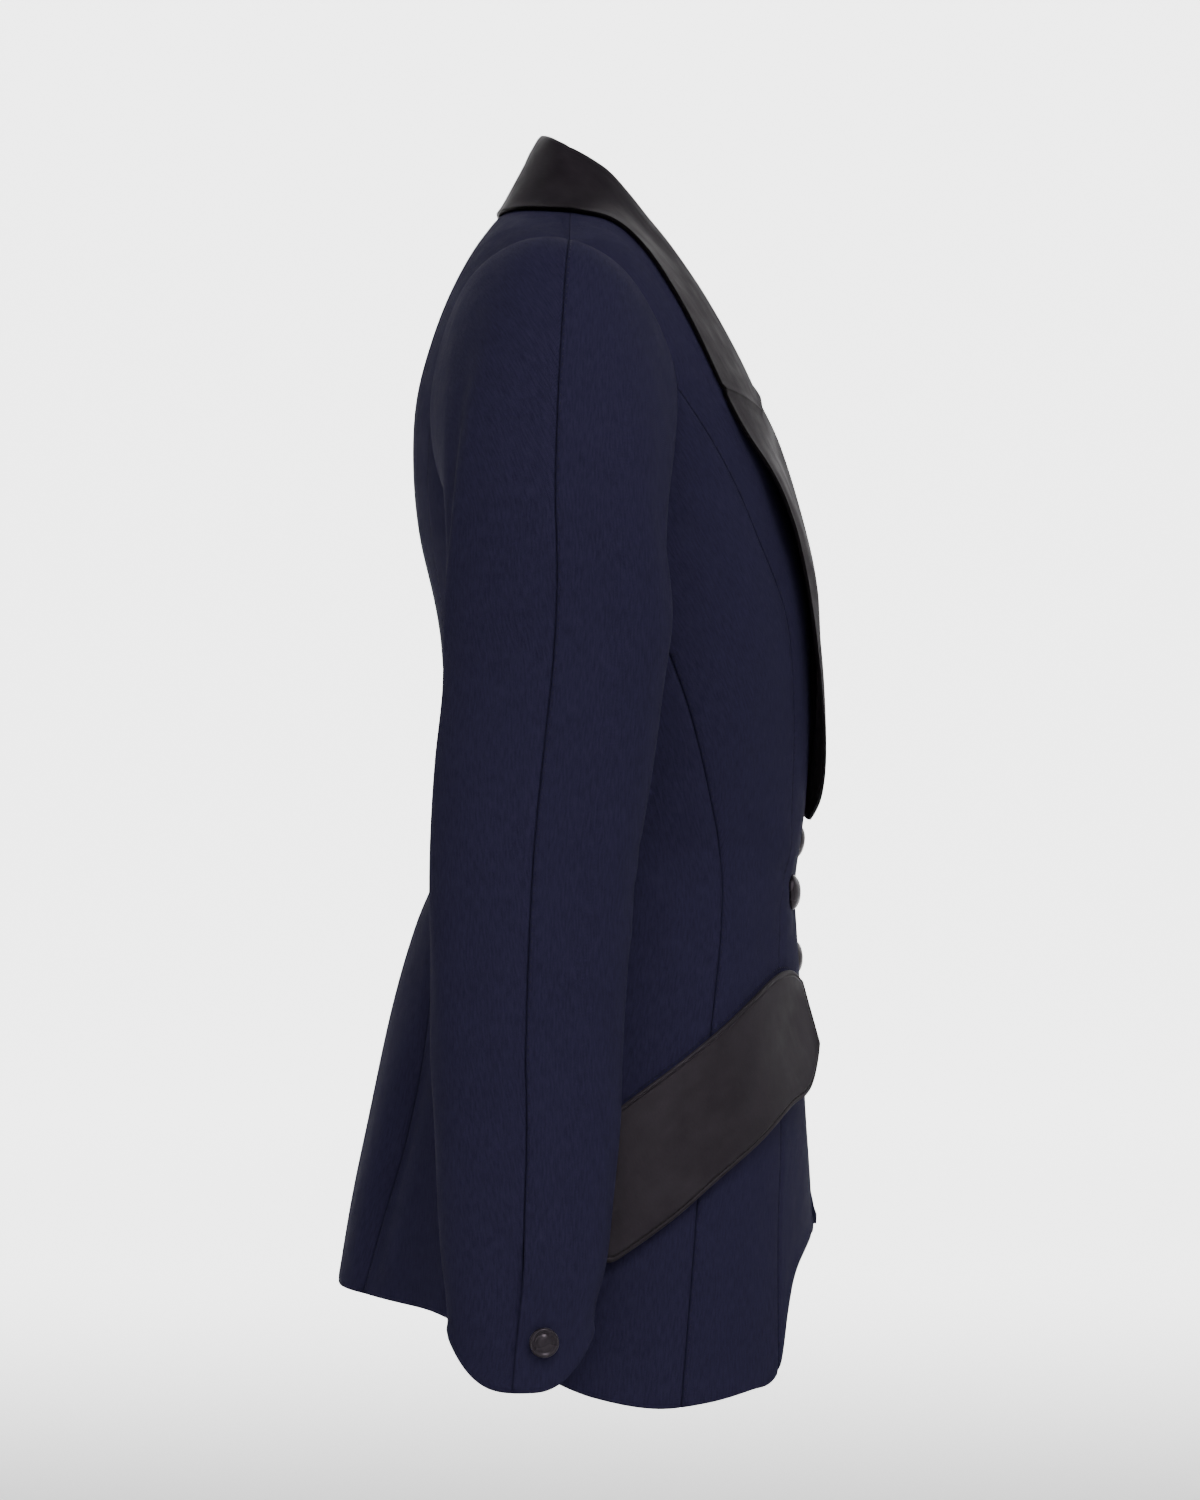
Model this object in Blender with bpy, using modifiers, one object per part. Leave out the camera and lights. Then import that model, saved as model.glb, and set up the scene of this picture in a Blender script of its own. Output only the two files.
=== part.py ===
"""A woman's long tuxedo blazer, worn and hollow, as its cut and sewn pieces.

Metres, +Z up. The front faces -Y and the wearer's right side is at -X. The origin is in the
middle of the neck opening, level with the neck ends of the shoulder seams, where the wearer's
shoulders carry the coat.

Every piece is a wall of cloth. The body is one smooth surface that is worked out from a table
of sections, and each panel is the stretch of it between its own seams. What lies on a panel,
such as a lapel or a flap, is made from the same surface, moved out.
"""

import math
from collections import namedtuple

import bmesh
import bpy
from mathutils import Matrix, Vector

# Cloth
CLOTH = 0.002            # wall of each piece
SEAM_GAP = 0.0003        # between pieces at a seam
LAY_GAP = 0.0011         # between a panel and what lies on it

# Body surface, from the hem plane up to the shoulder seams
Section = namedtuple("Section", "z half_width front back middle front_square back_square drop")
SECTIONS = (
    Section(-0.720, 0.202, -0.1310, 0.1710, 0.010, 2.5, 2.4, 0.000),
    Section(-0.620, 0.187, -0.1270, 0.1555, 0.008, 2.5, 2.4, 0.000),
    Section(-0.560, 0.175, -0.1240, 0.1435, 0.006, 2.6, 2.4, 0.000),
    Section(-0.490, 0.156, -0.1210, 0.1285, 0.004, 2.6, 2.4, 0.000),
    Section(-0.440, 0.139, -0.1185, 0.1140, 0.002, 2.5, 2.4, 0.000),
    Section(-0.400, 0.131, -0.1165, 0.0980, 0.000, 2.4, 2.4, 0.000),
    Section(-0.360, 0.135, -0.1205, 0.0910, 0.000, 2.4, 2.4, 0.000),
    Section(-0.305, 0.146, -0.1235, 0.0955, 0.002, 2.5, 2.6, 0.000),
    Section(-0.250, 0.156, -0.1225, 0.1005, 0.006, 2.6, 2.8, 0.000),
    Section(-0.200, 0.165, -0.1165, 0.1112, 0.010, 2.6, 3.0, 0.000),
    Section(-0.158, 0.171, -0.1080, 0.1147, 0.012, 2.6, 3.2, 0.004),
    Section(-0.118, 0.176, -0.0925, 0.1125, 0.014, 2.65, 3.4, 0.010),
    Section(-0.080, 0.179, -0.0725, 0.1030, 0.015, 2.7, 3.4, 0.018),
    Section(-0.045, 0.180, -0.0515, 0.0895, 0.016, 2.8, 3.3, 0.027),
    Section(-0.015, 0.180, -0.0295, 0.0720, 0.017, 2.9, 3.2, 0.035),
    Section(0.003, 0.178, -0.0080, 0.0530, 0.018, 3.0, 3.0, 0.041),
    Section(0.008, 0.176, 0.0180, 0.0180, 0.018, 3.0, 3.0, 0.043),
)
TOP = len(SECTIONS) - 1  # the shoulder seams
DROP_POWER = 1.6         # how the shoulders slope away from the neck

# Soft flutes of the skirt: angle from centre front, half spread, depth at the hem, start height
Flute = namedtuple("Flute", "angle spread depth start")
FLUTES = (
    Flute(108, 13, 0.006, -0.50),
    Flute(131, 10, -0.012, -0.44),
    Flute(153, 10, 0.007, -0.46),
    Flute(60, 12, -0.004, -0.56),
)

# Seams of the body, on the wearer's right; the left is its mirror
Seam = namedtuple("Seam", "z princess_x side_y back_princess_x")
SEAMS = (
    Seam(-0.720, 0.137, -0.0480, 0.112),
    Seam(-0.620, 0.121, -0.0560, 0.110),
    Seam(-0.560, 0.107, -0.0605, 0.111),
    Seam(-0.490, 0.093, -0.0670, 0.106),
    Seam(-0.440, 0.074, -0.0725, 0.086),
    Seam(-0.400, 0.056, -0.0730, 0.066),
    Seam(-0.360, 0.062, -0.0660, 0.060),
    Seam(-0.305, 0.072, -0.0520, 0.068),
    Seam(-0.250, 0.086, -0.0310, 0.083),
    Seam(-0.200, 0.118, -0.0130, 0.103),
)

# Armhole, from the shoulder point down the front and up the back
Armhole = namedtuple("Armhole", "place y z")
ARMHOLE = (
    Armhole("shoulder", 0.0180, -0.035),
    Armhole("front top", -0.0123, -0.050),
    Armhole("front middle", -0.0335, -0.080),
    Armhole("front notch", -0.0447, -0.117),
    Armhole("front low", -0.0390, -0.160),
    Armhole("side seam", -0.0120, -0.197),
    Armhole("under arm", 0.0220, -0.208),
    Armhole("back low", 0.0600, -0.197),
    Armhole("back curve", 0.0900, -0.168),
    Armhole("back notch", 0.0995, -0.130),
    Armhole("back middle", 0.0930, -0.086),
    Armhole("back high", 0.0765, -0.051),
    Armhole("back top", 0.0480, -0.035),
)
FRONT_NOTCH = 3
SIDE_SEAM_NOTCH = 5
UNDER_ARM = 6
BACK_NOTCH = 9
ARMHOLE_STEPS = 2        # mesh points for each row of the armhole table

# Hem height by the angle from centre front, in degrees
Hem = namedtuple("Hem", "angle z")
HEM = (
    Hem(0, -0.626),
    Hem(14, -0.629),
    Hem(24, -0.638),
    Hem(30, -0.650),
    Hem(34, -0.668),
    Hem(38, -0.696),
    Hem(42, -0.7060),
    Hem(48, -0.7085),
    Hem(60, -0.7135),
    Hem(73, -0.7148),
    Hem(88, -0.7075),
    Hem(95, -0.7000),
    Hem(108, -0.6810),
    Hem(120, -0.6650),
    Hem(135, -0.6595),
    Hem(150, -0.6555),
    Hem(180, -0.6520),
)

# Front edge and neck
NECK_HALF = 0.070        # shoulder seam's neck end from the centre
NECK_DROP_BACK = 0.022   # centre back of the neckline behind the shoulder seam
OVERLAP = 0.034          # how far each front passes the centre at the closure
BREAK_Z = -0.371         # where the roll line meets the front edge
GORGE_X = 0.037
GORGE_Y = -0.0945        # where the gorge seam meets the roll line
ROLL_POWER = 1.7
FrontEdge = namedtuple("FrontEdge", "z past_centre")
FRONT_EDGE = (
    FrontEdge(-0.629, -0.030),
    FrontEdge(-0.600, -0.016),
    FrontEdge(-0.560, 0.006),
    FrontEdge(-0.515, 0.025),
    FrontEdge(-0.470, 0.034),
    FrontEdge(-0.420, 0.034),
    FrontEdge(-0.371, 0.034),
)

# Lapel: outer edge by height, how far that edge stands off the chest, and the soft roll
Lapel = namedtuple("Lapel", "z edge_x stand_right stand_left roll_right roll_left")
LAPEL = (
    Lapel(-0.116, 0.1275, 0.000, 0.000, 0.0045, 0.0045),
    Lapel(-0.134, 0.1258, 0.001, 0.001, 0.0045, 0.0045),
    Lapel(-0.147, 0.1190, 0.003, 0.003, 0.0045, 0.0045),
    Lapel(-0.160, 0.1090, 0.005, 0.005, 0.0045, 0.0045),
    Lapel(-0.177, 0.1005, 0.008, 0.007, 0.0045, 0.0045),
    Lapel(-0.190, 0.0940, 0.009, 0.007, 0.0045, 0.0038),
    Lapel(-0.204, 0.0870, 0.009, 0.007, 0.0045, 0.0030),
    Lapel(-0.250, 0.0710, 0.007, 0.006, 0.0040, 0.0010),
    Lapel(-0.300, 0.0560, 0.008, 0.005, 0.0035, 0.0004),
    Lapel(-0.335, 0.0410, 0.009, 0.002, 0.0030, 0.0004),
    Lapel(-0.358, 0.0200, 0.007, 0.000, 0.0025, 0.0004),
    Lapel(-0.374, -0.0100, 0.003, 0.000, 0.0020, 0.0004),
)
LAPEL_STAND_POWER = 1.7  # the right lapel curls off the chest over most of its width
LEFT_STAND_POWER = 3.0   # the left one only near its edge, clear of the right front

# Collar: stations from centre back (-1) past the shoulder seam (0) to the gorge seam (1)
Collar = namedtuple("Collar", "along edge_x edge_y rise_in rise_back rise_up")
COLLAR = (
    Collar(-1.00, 0.000, 0.0620, 0.000, -0.0070, 0.0390),
    Collar(-0.66, 0.042, 0.0600, 0.004, -0.0060, 0.0390),
    Collar(-0.33, 0.077, 0.0470, 0.007, -0.0030, 0.0380),
    Collar(0.00, 0.100, 0.0180, 0.009, 0.0000, 0.0330),
    Collar(0.16, 0.108, 0.0018, 0.008, -0.0020, 0.0230),
    Collar(0.27, 0.113, -0.0140, 0.005, -0.0030, 0.0125),
    Collar(0.37, 0.117, -0.0270, 0.003, -0.0035, 0.0060),
    Collar(0.50, 0.1205, -0.0400, 0.002, -0.0036, 0.0040),
    Collar(0.70, 0.1235, -0.0550, 0.000, -0.0037, 0.0035),
    Collar(1.00, 0.1260, -0.0765, 0.000, -0.0038, 0.0024),
)
FALL_POWER = 1.6
FALL_STEPS = (0.14, 0.3, 0.46, 0.64, 0.82, 1.0)
STAND_STEPS = (0.0, 0.4, 0.8)
FOLD_OUT = 0.0025        # half the thickness of the soft roll

# Hip flap: rows from its front end round to its back end
Flap = namedtuple("Flap", "angle top bottom lift_top lift_bottom")
FLAP = (
    Flap(23, -0.473, -0.527, 0.003, 0.012),
    Flap(28, -0.466, -0.538, 0.001, 0.010),
    Flap(36, -0.468, -0.546, 0.000, 0.006),
    Flap(46, -0.480, -0.563, 0.000, 0.004),
    Flap(58, -0.500, -0.584, 0.000, 0.003),
    Flap(69, -0.519, -0.606, 0.000, 0.003),
    Flap(78, -0.534, -0.622, 0.000, 0.003),
    Flap(86, -0.548, -0.635, 0.000, 0.003),
)

# Sleeve: sections below the armhole, centre and half sizes
Sleeve = namedtuple("Sleeve", "z x y half_x half_y tilt")
SLEEVE = (
    Sleeve(-0.215, 0.2150, 0.0255, 0.0445, 0.0640, 0.025),
    Sleeve(-0.255, 0.2135, 0.0245, 0.0435, 0.0665, 0.018),
    Sleeve(-0.295, 0.2120, 0.0270, 0.0420, 0.0640, 0.011),
    Sleeve(-0.340, 0.2110, 0.0323, 0.0400, 0.0634, 0.006),
    Sleeve(-0.391, 0.2120, 0.0377, 0.0385, 0.0608, 0.002),
    Sleeve(-0.451, 0.2150, 0.0409, 0.0375, 0.0576, 0.000),
    Sleeve(-0.507, 0.2185, 0.0424, 0.0365, 0.0556, 0.000),
    Sleeve(-0.548, 0.2220, 0.0418, 0.0355, 0.0537, 0.000),
    Sleeve(-0.596, 0.2275, 0.0429, 0.0345, 0.0504, 0.000),
    Sleeve(-0.640, 0.2335, 0.0436, 0.0335, 0.0468, 0.000),
    Sleeve(-0.672, 0.2375, 0.0450, 0.0330, 0.0430, 0.000),
    Sleeve(-0.696, 0.2400, 0.0455, 0.0325, 0.0415, 0.000),
)
SLEEVE_STEPS = 14        # rows below the cap
CAP_STEPS = 6            # rows of the cap
CAP_ROPE = 0.18          # rise of the sleeve head as it leaves the shoulder
CAP_UNDER = -2.20        # fall of the sleeve as it leaves the underarm
CAP_PULL = 0.35          # roundness of the cap
ARMHOLE_GAP = 0.0006     # between a sleeve's head and the armhole
UNDER_ARM_GAP = 0.0020   # more under the arm, where the sleeve hangs outside the body
CUFF_RISE = 0.028        # rise of the curved cuff at its front and back folds
CUFF_START = -0.600
VENT_TOP = -0.624        # top of the cuff's vent
VENT_LAP = 0.0100        # by which the vent's front edge laps over the back one
VENT_RAMP = 0.032        # height over which the lapping edge rises off the sleeve
VENT_LAP_DELAY = 0.25    # share of that height before the edge starts to pass over
VENT_LIFT = (1.0, 1.0, 0.35)  # share of the lift on each column of the mesh from the edge

# Front closure: how far the right front passes over the left front and its lapel
LAP_LIFT = 0.0031        # over one layer
LAPEL_LAP_LIFT = 0.0038  # more, over the hidden end of the left lapel
LEFT_FLARE = 0.012       # the left front's lower corner swings forward

# Buttons
FRONT_BUTTON = ((0.0, 0.0065), (0.004, 0.0062), (0.0075, 0.0050), (0.0100, 0.0032),
                (0.0110, 0.0018), (0.0104, 0.0004), (0.0085, 0.0), (0.0, 0.0))
CUFF_BUTTON = ((0.0, 0.0046), (0.0034, 0.0042), (0.0054, 0.0029), (0.0064, 0.0038),
               (0.0078, 0.0039), (0.0085, 0.0028), (0.0084, 0.0008), (0.0072, 0.0), (0.0, 0.0))
BUTTON_STEPS = 20
BUTTON_SEAT = 0.0007
Button = namedtuple("Button", "name x z")
FRONT_BUTTONS = (
    Button("button_top", 0.018, -0.3885),
    Button("button_middle", -0.034, -0.4195),
    Button("button_bottom", 0.018, -0.461),
)
CUFF_BUTTON_Z = -0.667
CUFF_BUTTON_TURN = 16.0  # degrees in front of the sleeve's centre seam

# Mesh steps
BODY_ROWS = 16           # from the hem to the armhole notches
SHOULDER_COLUMNS = 7
BACK_NECK_COLUMNS = 3    # on each half of the back neck
LAPEL_ROWS = 15
COLLAR_STATIONS = 17     # on each half
FLAP_COLUMNS = 14
FLAP_ROWS = 4
SMALL_TURN = 0.008       # steps that the surface's normal is measured over
SMALL_RISE = 0.02

WOOL = "navy wool"
SATIN = "black satin"


def smooth_step(low, high, value):
    """0 below low, 1 above high, and a soft ramp between."""
    share = min(1.0, max(0.0, (value - low) / (high - low)))
    return share * share * (3.0 - 2.0 * share)


def curve_value(xs, ys, x):
    """A smooth curve through the points (xs, ys), with xs rising, read at x."""
    last = len(xs) - 1
    k = 0
    while k < last - 1 and x > xs[k + 1]:
        k += 1

    def slope(i):
        low = max(i - 1, 0)
        high = min(i + 1, last)
        return (ys[high] - ys[low]) / (xs[high] - xs[low])

    width = xs[k + 1] - xs[k]
    t = min(1.0, max(0.0, (x - xs[k]) / width))
    start = (2 * t ** 3 - 3 * t ** 2 + 1) * ys[k] + (t ** 3 - 2 * t ** 2 + t) * width * slope(k)
    end = (3 * t ** 2 - 2 * t ** 3) * ys[k + 1] + (t ** 3 - t ** 2) * width * slope(k + 1)
    return start + end


def column_value(table, key, value, x):
    """A smooth curve through two columns of a table, sorted by the first of them."""
    rows = sorted(table, key=lambda row: getattr(row, key))
    return curve_value([getattr(row, key) for row in rows],
                       [getattr(row, value) for row in rows], x)


def section(v):
    """The body's section at height index v, between the rows of the table."""
    return Section(*(curve_value(range(TOP + 1), [row[i] for row in SECTIONS], v)
                     for i in range(len(Section._fields))))


def flute_depth(angle, z):
    """How far the skirt's flutes move its surface out."""
    degrees = math.degrees(angle) % 360.0
    degrees = min(degrees, 360.0 - degrees)
    total = 0.0
    for flute in FLUTES:
        bump = math.exp(-((degrees - flute.angle) / flute.spread) ** 2)
        fall = (flute.start - z) / (flute.start - SECTIONS[0].z)
        total += flute.depth * bump * max(0.0, fall) ** 1.3
    return total


def body_point(angle, v):
    """A point of the body's outer surface; the angle runs from centre front round the right."""
    row = section(v)
    s = math.sin(angle)
    c = math.cos(angle)
    square = row.front_square if c > 0 else row.back_square
    reach = (abs(s) ** square + abs(c) ** square) ** (-1.0 / square)
    depth = (row.front if c > 0 else row.back) - row.middle
    x = -row.half_width * s * reach
    y = row.middle + depth * abs(c) * reach
    z = row.z - row.drop * (abs(x) / row.half_width) ** DROP_POWER
    out = flute_depth(angle, z)
    if out:
        away = Vector((x, y - row.middle)).normalized()
        x += away.x * out
        y += away.y * out
    return Vector((x, y, z))


def body_normal(angle, v):
    """The surface's direction outwards. On the shoulder seam it leans to neither side."""
    if v > TOP - 1e-6:
        row = SECTIONS[TOP]
        x = body_point(angle, v).x
        share = abs(x) / row.half_width
        slope = row.drop * DROP_POWER * share ** (DROP_POWER - 1) / row.half_width
        return Vector((math.copysign(slope, x), 0.0, 1.0)).normalized()
    low = max(0.0, v - SMALL_RISE)
    high = min(float(TOP), v + SMALL_RISE)
    up = body_point(angle, high) - body_point(angle, low)
    around = body_point(angle + SMALL_TURN, v) - body_point(angle - SMALL_TURN, v)
    return up.cross(around).normalized()


def height_index(angle_of, z):
    """The height index at which the surface, at angle_of(v), reaches the height z."""
    low = 0.0
    high = float(TOP)
    for _ in range(40):
        v = 0.5 * (low + high)
        if body_point(angle_of(v), v).z < z:
            low = v
        else:
            high = v
    return 0.5 * (low + high)


def angle_for_x(x, v, front=True):
    """The angle at which section v passes the distance x from the centre plane."""
    row = section(v)
    square = row.front_square if front else row.back_square
    share = min(1.0, abs(x) / row.half_width) ** square
    turn = math.pi / 2 if share > 0.999999 else math.atan((share / (1 - share)) ** (1 / square))
    turn = math.copysign(turn, x)
    return turn if front else math.pi - turn


def angle_for_y(y, v):
    """The angle at which section v passes the depth y, on the right side."""
    row = section(v)
    front = y < row.middle
    square = row.front_square if front else row.back_square
    depth = abs((row.front if front else row.back) - row.middle)
    share = min(1.0, abs(y - row.middle) / max(depth, 1e-6)) ** square
    turn = math.pi / 2 if share < 1e-9 else math.atan((1 / share - 1) ** (1 / square))
    return turn if front else math.pi - turn


def at_front(x, z):
    """Place on the front at x from the centre, towards the wearer's right, and height z."""
    v = height_index(lambda w: angle_for_x(x, w), z)
    return angle_for_x(x, v), v


def at_back(x, z):
    """Place on the back at x from the centre and height z."""
    v = height_index(lambda w: angle_for_x(x, w, front=False), z)
    return angle_for_x(x, v, front=False), v


def at_side(y, z):
    """Place on the right side at depth y and height z."""
    v = height_index(lambda w: angle_for_y(y, w), z)
    return angle_for_y(y, v), v


def in_plan(x, y):
    """Place on the shoulders and chest that lies below the plan point (x, y)."""
    low = 0.0
    high = float(TOP)
    for _ in range(40):
        v = 0.5 * (low + high)
        row = section(v)
        front = y < row.middle
        square = row.front_square if front else row.back_square
        depth = max(1e-6, abs((row.front if front else row.back) - row.middle))
        size = (abs(x) / row.half_width) ** square + (abs(y - row.middle) / depth) ** square
        if size < 1.0:
            low = v
        else:
            high = v
    return angle_for_x(x, v, front), v


def hem_place(angle_of):
    """Where the line angle_of(v) meets the hem."""
    v = 1.0
    for _ in range(12):
        angle = angle_of(v)
        z = column_value(HEM, "angle", "z", math.degrees(angle))
        v = height_index(lambda w, a=angle: a, z)
    return angle_of(v), v


def armhole_place(index):
    """Place on the armhole at a table index, which may lie between two rows."""
    count = len(ARMHOLE)
    rows = [ARMHOLE[i % count] for i in range(-2, count + 3)]
    spots = list(range(-2, count + 3))
    y = curve_value(spots, [row.y for row in rows], index)
    z = curve_value(spots, [row.z for row in rows], index)
    if abs(index % count) < 1e-9:
        return math.pi / 2, float(TOP)
    return at_side(y, z)


def armhole_run(start, end):
    """Places along the armhole from one table row to another."""
    steps = int(abs(end - start)) * ARMHOLE_STEPS
    return [armhole_place(start + (end - start) * i / steps) for i in range(steps + 1)]


def seam_line(places_at_rows, notch):
    """Places from the hem up a seam to the armhole notch, BODY_ROWS steps."""
    places = sorted(places_at_rows + [notch], key=lambda place: place[1])
    heights = [place[1] for place in places]
    angles = [place[0] for place in places]

    def angle_of(v):
        return curve_value(heights, angles, v)

    start = hem_place(angle_of)[1]
    line = []
    for i in range(BODY_ROWS + 1):
        v = start + (notch[1] - start) * i / BODY_ROWS
        line.append((angle_of(v), v))
    line[-1] = notch
    return line


def roll_place(along):
    """Place on the roll line, from the neck end of the shoulder seam (0) to the gorge (1)."""
    seam_y = SECTIONS[TOP].middle
    y = seam_y + (GORGE_Y - seam_y) * along
    x = NECK_HALF - (NECK_HALF - GORGE_X) * along ** ROLL_POWER
    if along == 0:
        return angle_for_x(x, TOP), float(TOP)
    return in_plan(x, y)


def lower_roll_x(z):
    """The roll line below the gorge, straight to the break point; right of the centre is +."""
    top = body_point(*roll_place(1.0)).z
    share = (z - top) / (BREAK_Z - top)
    return GORGE_X + (-OVERLAP - GORGE_X) * share


def back_neck_place(along):
    """Place on the back neckline, from the shoulder seam (0) to centre back (1)."""
    turn = math.pi / 2 * along
    if along == 0:
        return angle_for_x(NECK_HALF, TOP, front=False), float(TOP)
    y = SECTIONS[TOP].middle + NECK_DROP_BACK * math.sin(turn)
    return in_plan(NECK_HALF * math.cos(turn), y)


def shoulder_run(front):
    """Places along the shoulder seam from the armhole to the neck."""
    row = SECTIONS[TOP]
    run = []
    for i in range(SHOULDER_COLUMNS + 1):
        x = row.half_width + (NECK_HALF - row.half_width) * i / SHOULDER_COLUMNS
        run.append((angle_for_x(x, TOP, front), float(TOP)))
    return run


def between(bottom, top, left, right):
    """Fill the patch between four lines of places that meet at its corners."""
    rows = len(left) - 1
    columns = len(bottom) - 1
    grid = []
    for i in range(rows + 1):
        t = i / rows
        line = []
        for j in range(columns + 1):
            s = j / columns
            place = []
            for k in range(2):
                ends = (1 - t) * bottom[j][k] + t * top[j][k]
                sides = (1 - s) * left[i][k] + s * right[i][k]
                corners = ((1 - s) * (1 - t) * bottom[0][k] + s * (1 - t) * bottom[-1][k]
                           + (1 - s) * t * top[0][k] + s * t * top[-1][k])
                place.append(ends + sides - corners)
            line.append(tuple(place))
        grid.append(line)
    return grid


def hem_run(start, end, columns):
    """Places along the hem between two corners."""
    run = [start]
    for j in range(1, columns):
        angle = start[0] + (end[0] - start[0]) * j / columns
        run.append(hem_place(lambda v, a=angle: a))
    run.append(end)
    return run


def right_lift(point):
    """How far the right front stands out to pass over the left front and its lapel."""
    near = smooth_step(-0.105, -OVERLAP - 0.008, point.x)
    below = 1.0 - smooth_step(-0.240, -0.150, point.z)
    over_lapel = smooth_step(-0.430, -0.385, point.z)
    return near * below * (LAP_LIFT + LAPEL_LAP_LIFT * over_lapel)


def left_lift(point):
    """How far the left front's lower corner swings forward; x is mirrored."""
    near = smooth_step(-0.110, 0.000, point.x)
    return LEFT_FLARE * near * smooth_step(0.575, 0.645, -point.z)


def surface(places, lift=None):
    """Points and normals of the body's surface at a grid of places, moved out by lift."""
    points = []
    normals = []
    for line in places:
        normal_line = [body_normal(angle, v) for angle, v in line]
        point_line = [body_point(angle, v) for angle, v in line]
        if lift:
            point_line = [p + n * lift(p) for p, n in zip(point_line, normal_line)]
        points.append(point_line)
        normals.append(normal_line)
    return points, normals


def seam_inset(points, normals, sides):
    """Move a grid's sewn edges in by half a seam gap, within the cloth's surface."""
    rows = len(points)
    columns = len(points[0])
    moved = [[p.copy() for p in line] for line in points]

    def push(i, j, along, inside):
        direction = along.cross(normals[i][j]).normalized()
        if direction.dot(inside) < 0:
            direction.negate()
        moved[i][j] += direction * (SEAM_GAP / 2 * 1.1)

    for i in range(rows):
        low = points[max(i - 1, 0)]
        high = points[min(i + 1, rows - 1)]
        if "first column" in sides:
            push(i, 0, high[0] - low[0], points[i][1] - points[i][0])
        if "last column" in sides:
            push(i, -1, high[-1] - low[-1], points[i][-2] - points[i][-1])
    for j in range(columns):
        for name, edge, within in (("first row", 0, 1), ("last row", -1, -2)):
            if name in sides:
                line = points[edge]
                along = line[min(j + 1, columns - 1)] - line[max(j - 1, 0)]
                push(edge, j, along, points[within][j] - points[edge][j])
    return moved


def new_object(name, mesh, material):
    """Put a mesh in the blazer's collection with its own material."""
    thing = bpy.data.objects.new(name, mesh)
    bpy.data.collections["tuxedo blazer"].objects.link(thing)
    mesh.materials.append(finish(name, material))
    return thing


def finish(name, kind):
    """One Principled material for a piece."""
    color, roughness, sheen = {
        WOOL: ((0.013, 0.013, 0.034, 1.0), 0.82, 0.25),
        SATIN: ((0.016, 0.013, 0.015, 1.0), 0.36, 0.0),
    }[kind]
    material = bpy.data.materials.new(name + " " + kind)
    material.use_nodes = True
    shader = material.node_tree.nodes["Principled BSDF"]
    shader.inputs["Base Color"].default_value = color
    shader.inputs["Roughness"].default_value = roughness
    shader.inputs["Metallic"].default_value = 0.0
    shader.inputs["Sheen Weight"].default_value = sheen
    return material


def closed_mesh(name, rings, material, mirrored):
    """A closed body through rings of points, with a flat fan over each end."""
    side = -1.0 if mirrored else 1.0
    bm = bmesh.new()
    rows = [[bm.verts.new((p.x * side, p.y, p.z)) for p in ring] for ring in rings]
    count = len(rows[0])
    for low, high in zip(rows, rows[1:]):
        for j in range(count):
            k = (j + 1) % count
            bm.faces.new((low[j], low[k], high[k], high[j]))
    half = count // 2
    for ring in (rows[0], rows[-1]):
        for j in range(half - 1):
            bm.faces.new((ring[j], ring[j + 1], ring[count - 2 - j], ring[count - 1 - j]))
    bmesh.ops.recalc_face_normals(bm, faces=bm.faces)
    if bm.calc_volume(signed=True) < 0:
        bmesh.ops.reverse_faces(bm, faces=bm.faces)
    mesh = bpy.data.meshes.new(name)
    bm.to_mesh(mesh)
    bm.free()
    mesh.shade_smooth()
    mesh.set_sharp_from_angle(angle=math.radians(50))
    return new_object(name, mesh, material)


def wall(name, points, normals, material, mirrored=False, thickness=CLOTH):
    """A wall of cloth: each row of outer points closed by the same row moved in."""
    rings = []
    for line, normal_line in zip(points, normals):
        inner = [p - n * thickness for p, n in zip(line, normal_line)]
        rings.append(list(line) + inner[::-1])
    return closed_mesh(name, rings, material, mirrored)


def seam_places():
    """The three seams of the right half of the body, from the hem to the armhole."""
    def rows(place_at, column):
        return [place_at(getattr(row, column), row.z) for row in SEAMS]

    princess = seam_line(rows(at_front, "princess_x"), armhole_place(FRONT_NOTCH))
    side = seam_line(rows(at_side, "side_y"), armhole_place(SIDE_SEAM_NOTCH))
    back = seam_line(rows(at_back, "back_princess_x"), armhole_place(BACK_NOTCH))
    return princess, side, back


def front_edge_run():
    """Places up the front edge and the roll line, from the hem to the shoulder seam."""
    run = []
    edge_steps = 8
    roll_steps = 8
    for i in range(edge_steps):
        z = FRONT_EDGE[0].z + (BREAK_Z - FRONT_EDGE[0].z) * i / edge_steps
        run.append(at_front(-column_value(FRONT_EDGE, "z", "past_centre", z), z))
    gorge_z = body_point(*roll_place(1.0)).z
    for i in range(roll_steps):
        z = BREAK_Z + (gorge_z - BREAK_Z) * i / roll_steps
        run.append(at_front(lower_roll_x(z), z))
    neck_steps = BODY_ROWS + FRONT_NOTCH * ARMHOLE_STEPS - edge_steps - roll_steps
    for i in range(neck_steps + 1):
        run.append(roll_place(1.0 - i / neck_steps))
    return run


def make_fronts(princess):
    """The right front and the left front, from the princess seam to the front edge."""
    outer_side = princess + armhole_run(FRONT_NOTCH, 0)[1:]
    edge = front_edge_run()
    bottom = hem_run(outer_side[0], edge[0], SHOULDER_COLUMNS)
    places = between(bottom, shoulder_run(front=True), outer_side, edge)
    for name, lift, mirrored in (("front_right", right_lift, False),
                                 ("front_left", left_lift, True)):
        points, normals = surface(places, lift)
        points = seam_inset(points, normals, ("first column", "last row"))
        wall(name, points, normals, WOOL, mirrored)


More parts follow.
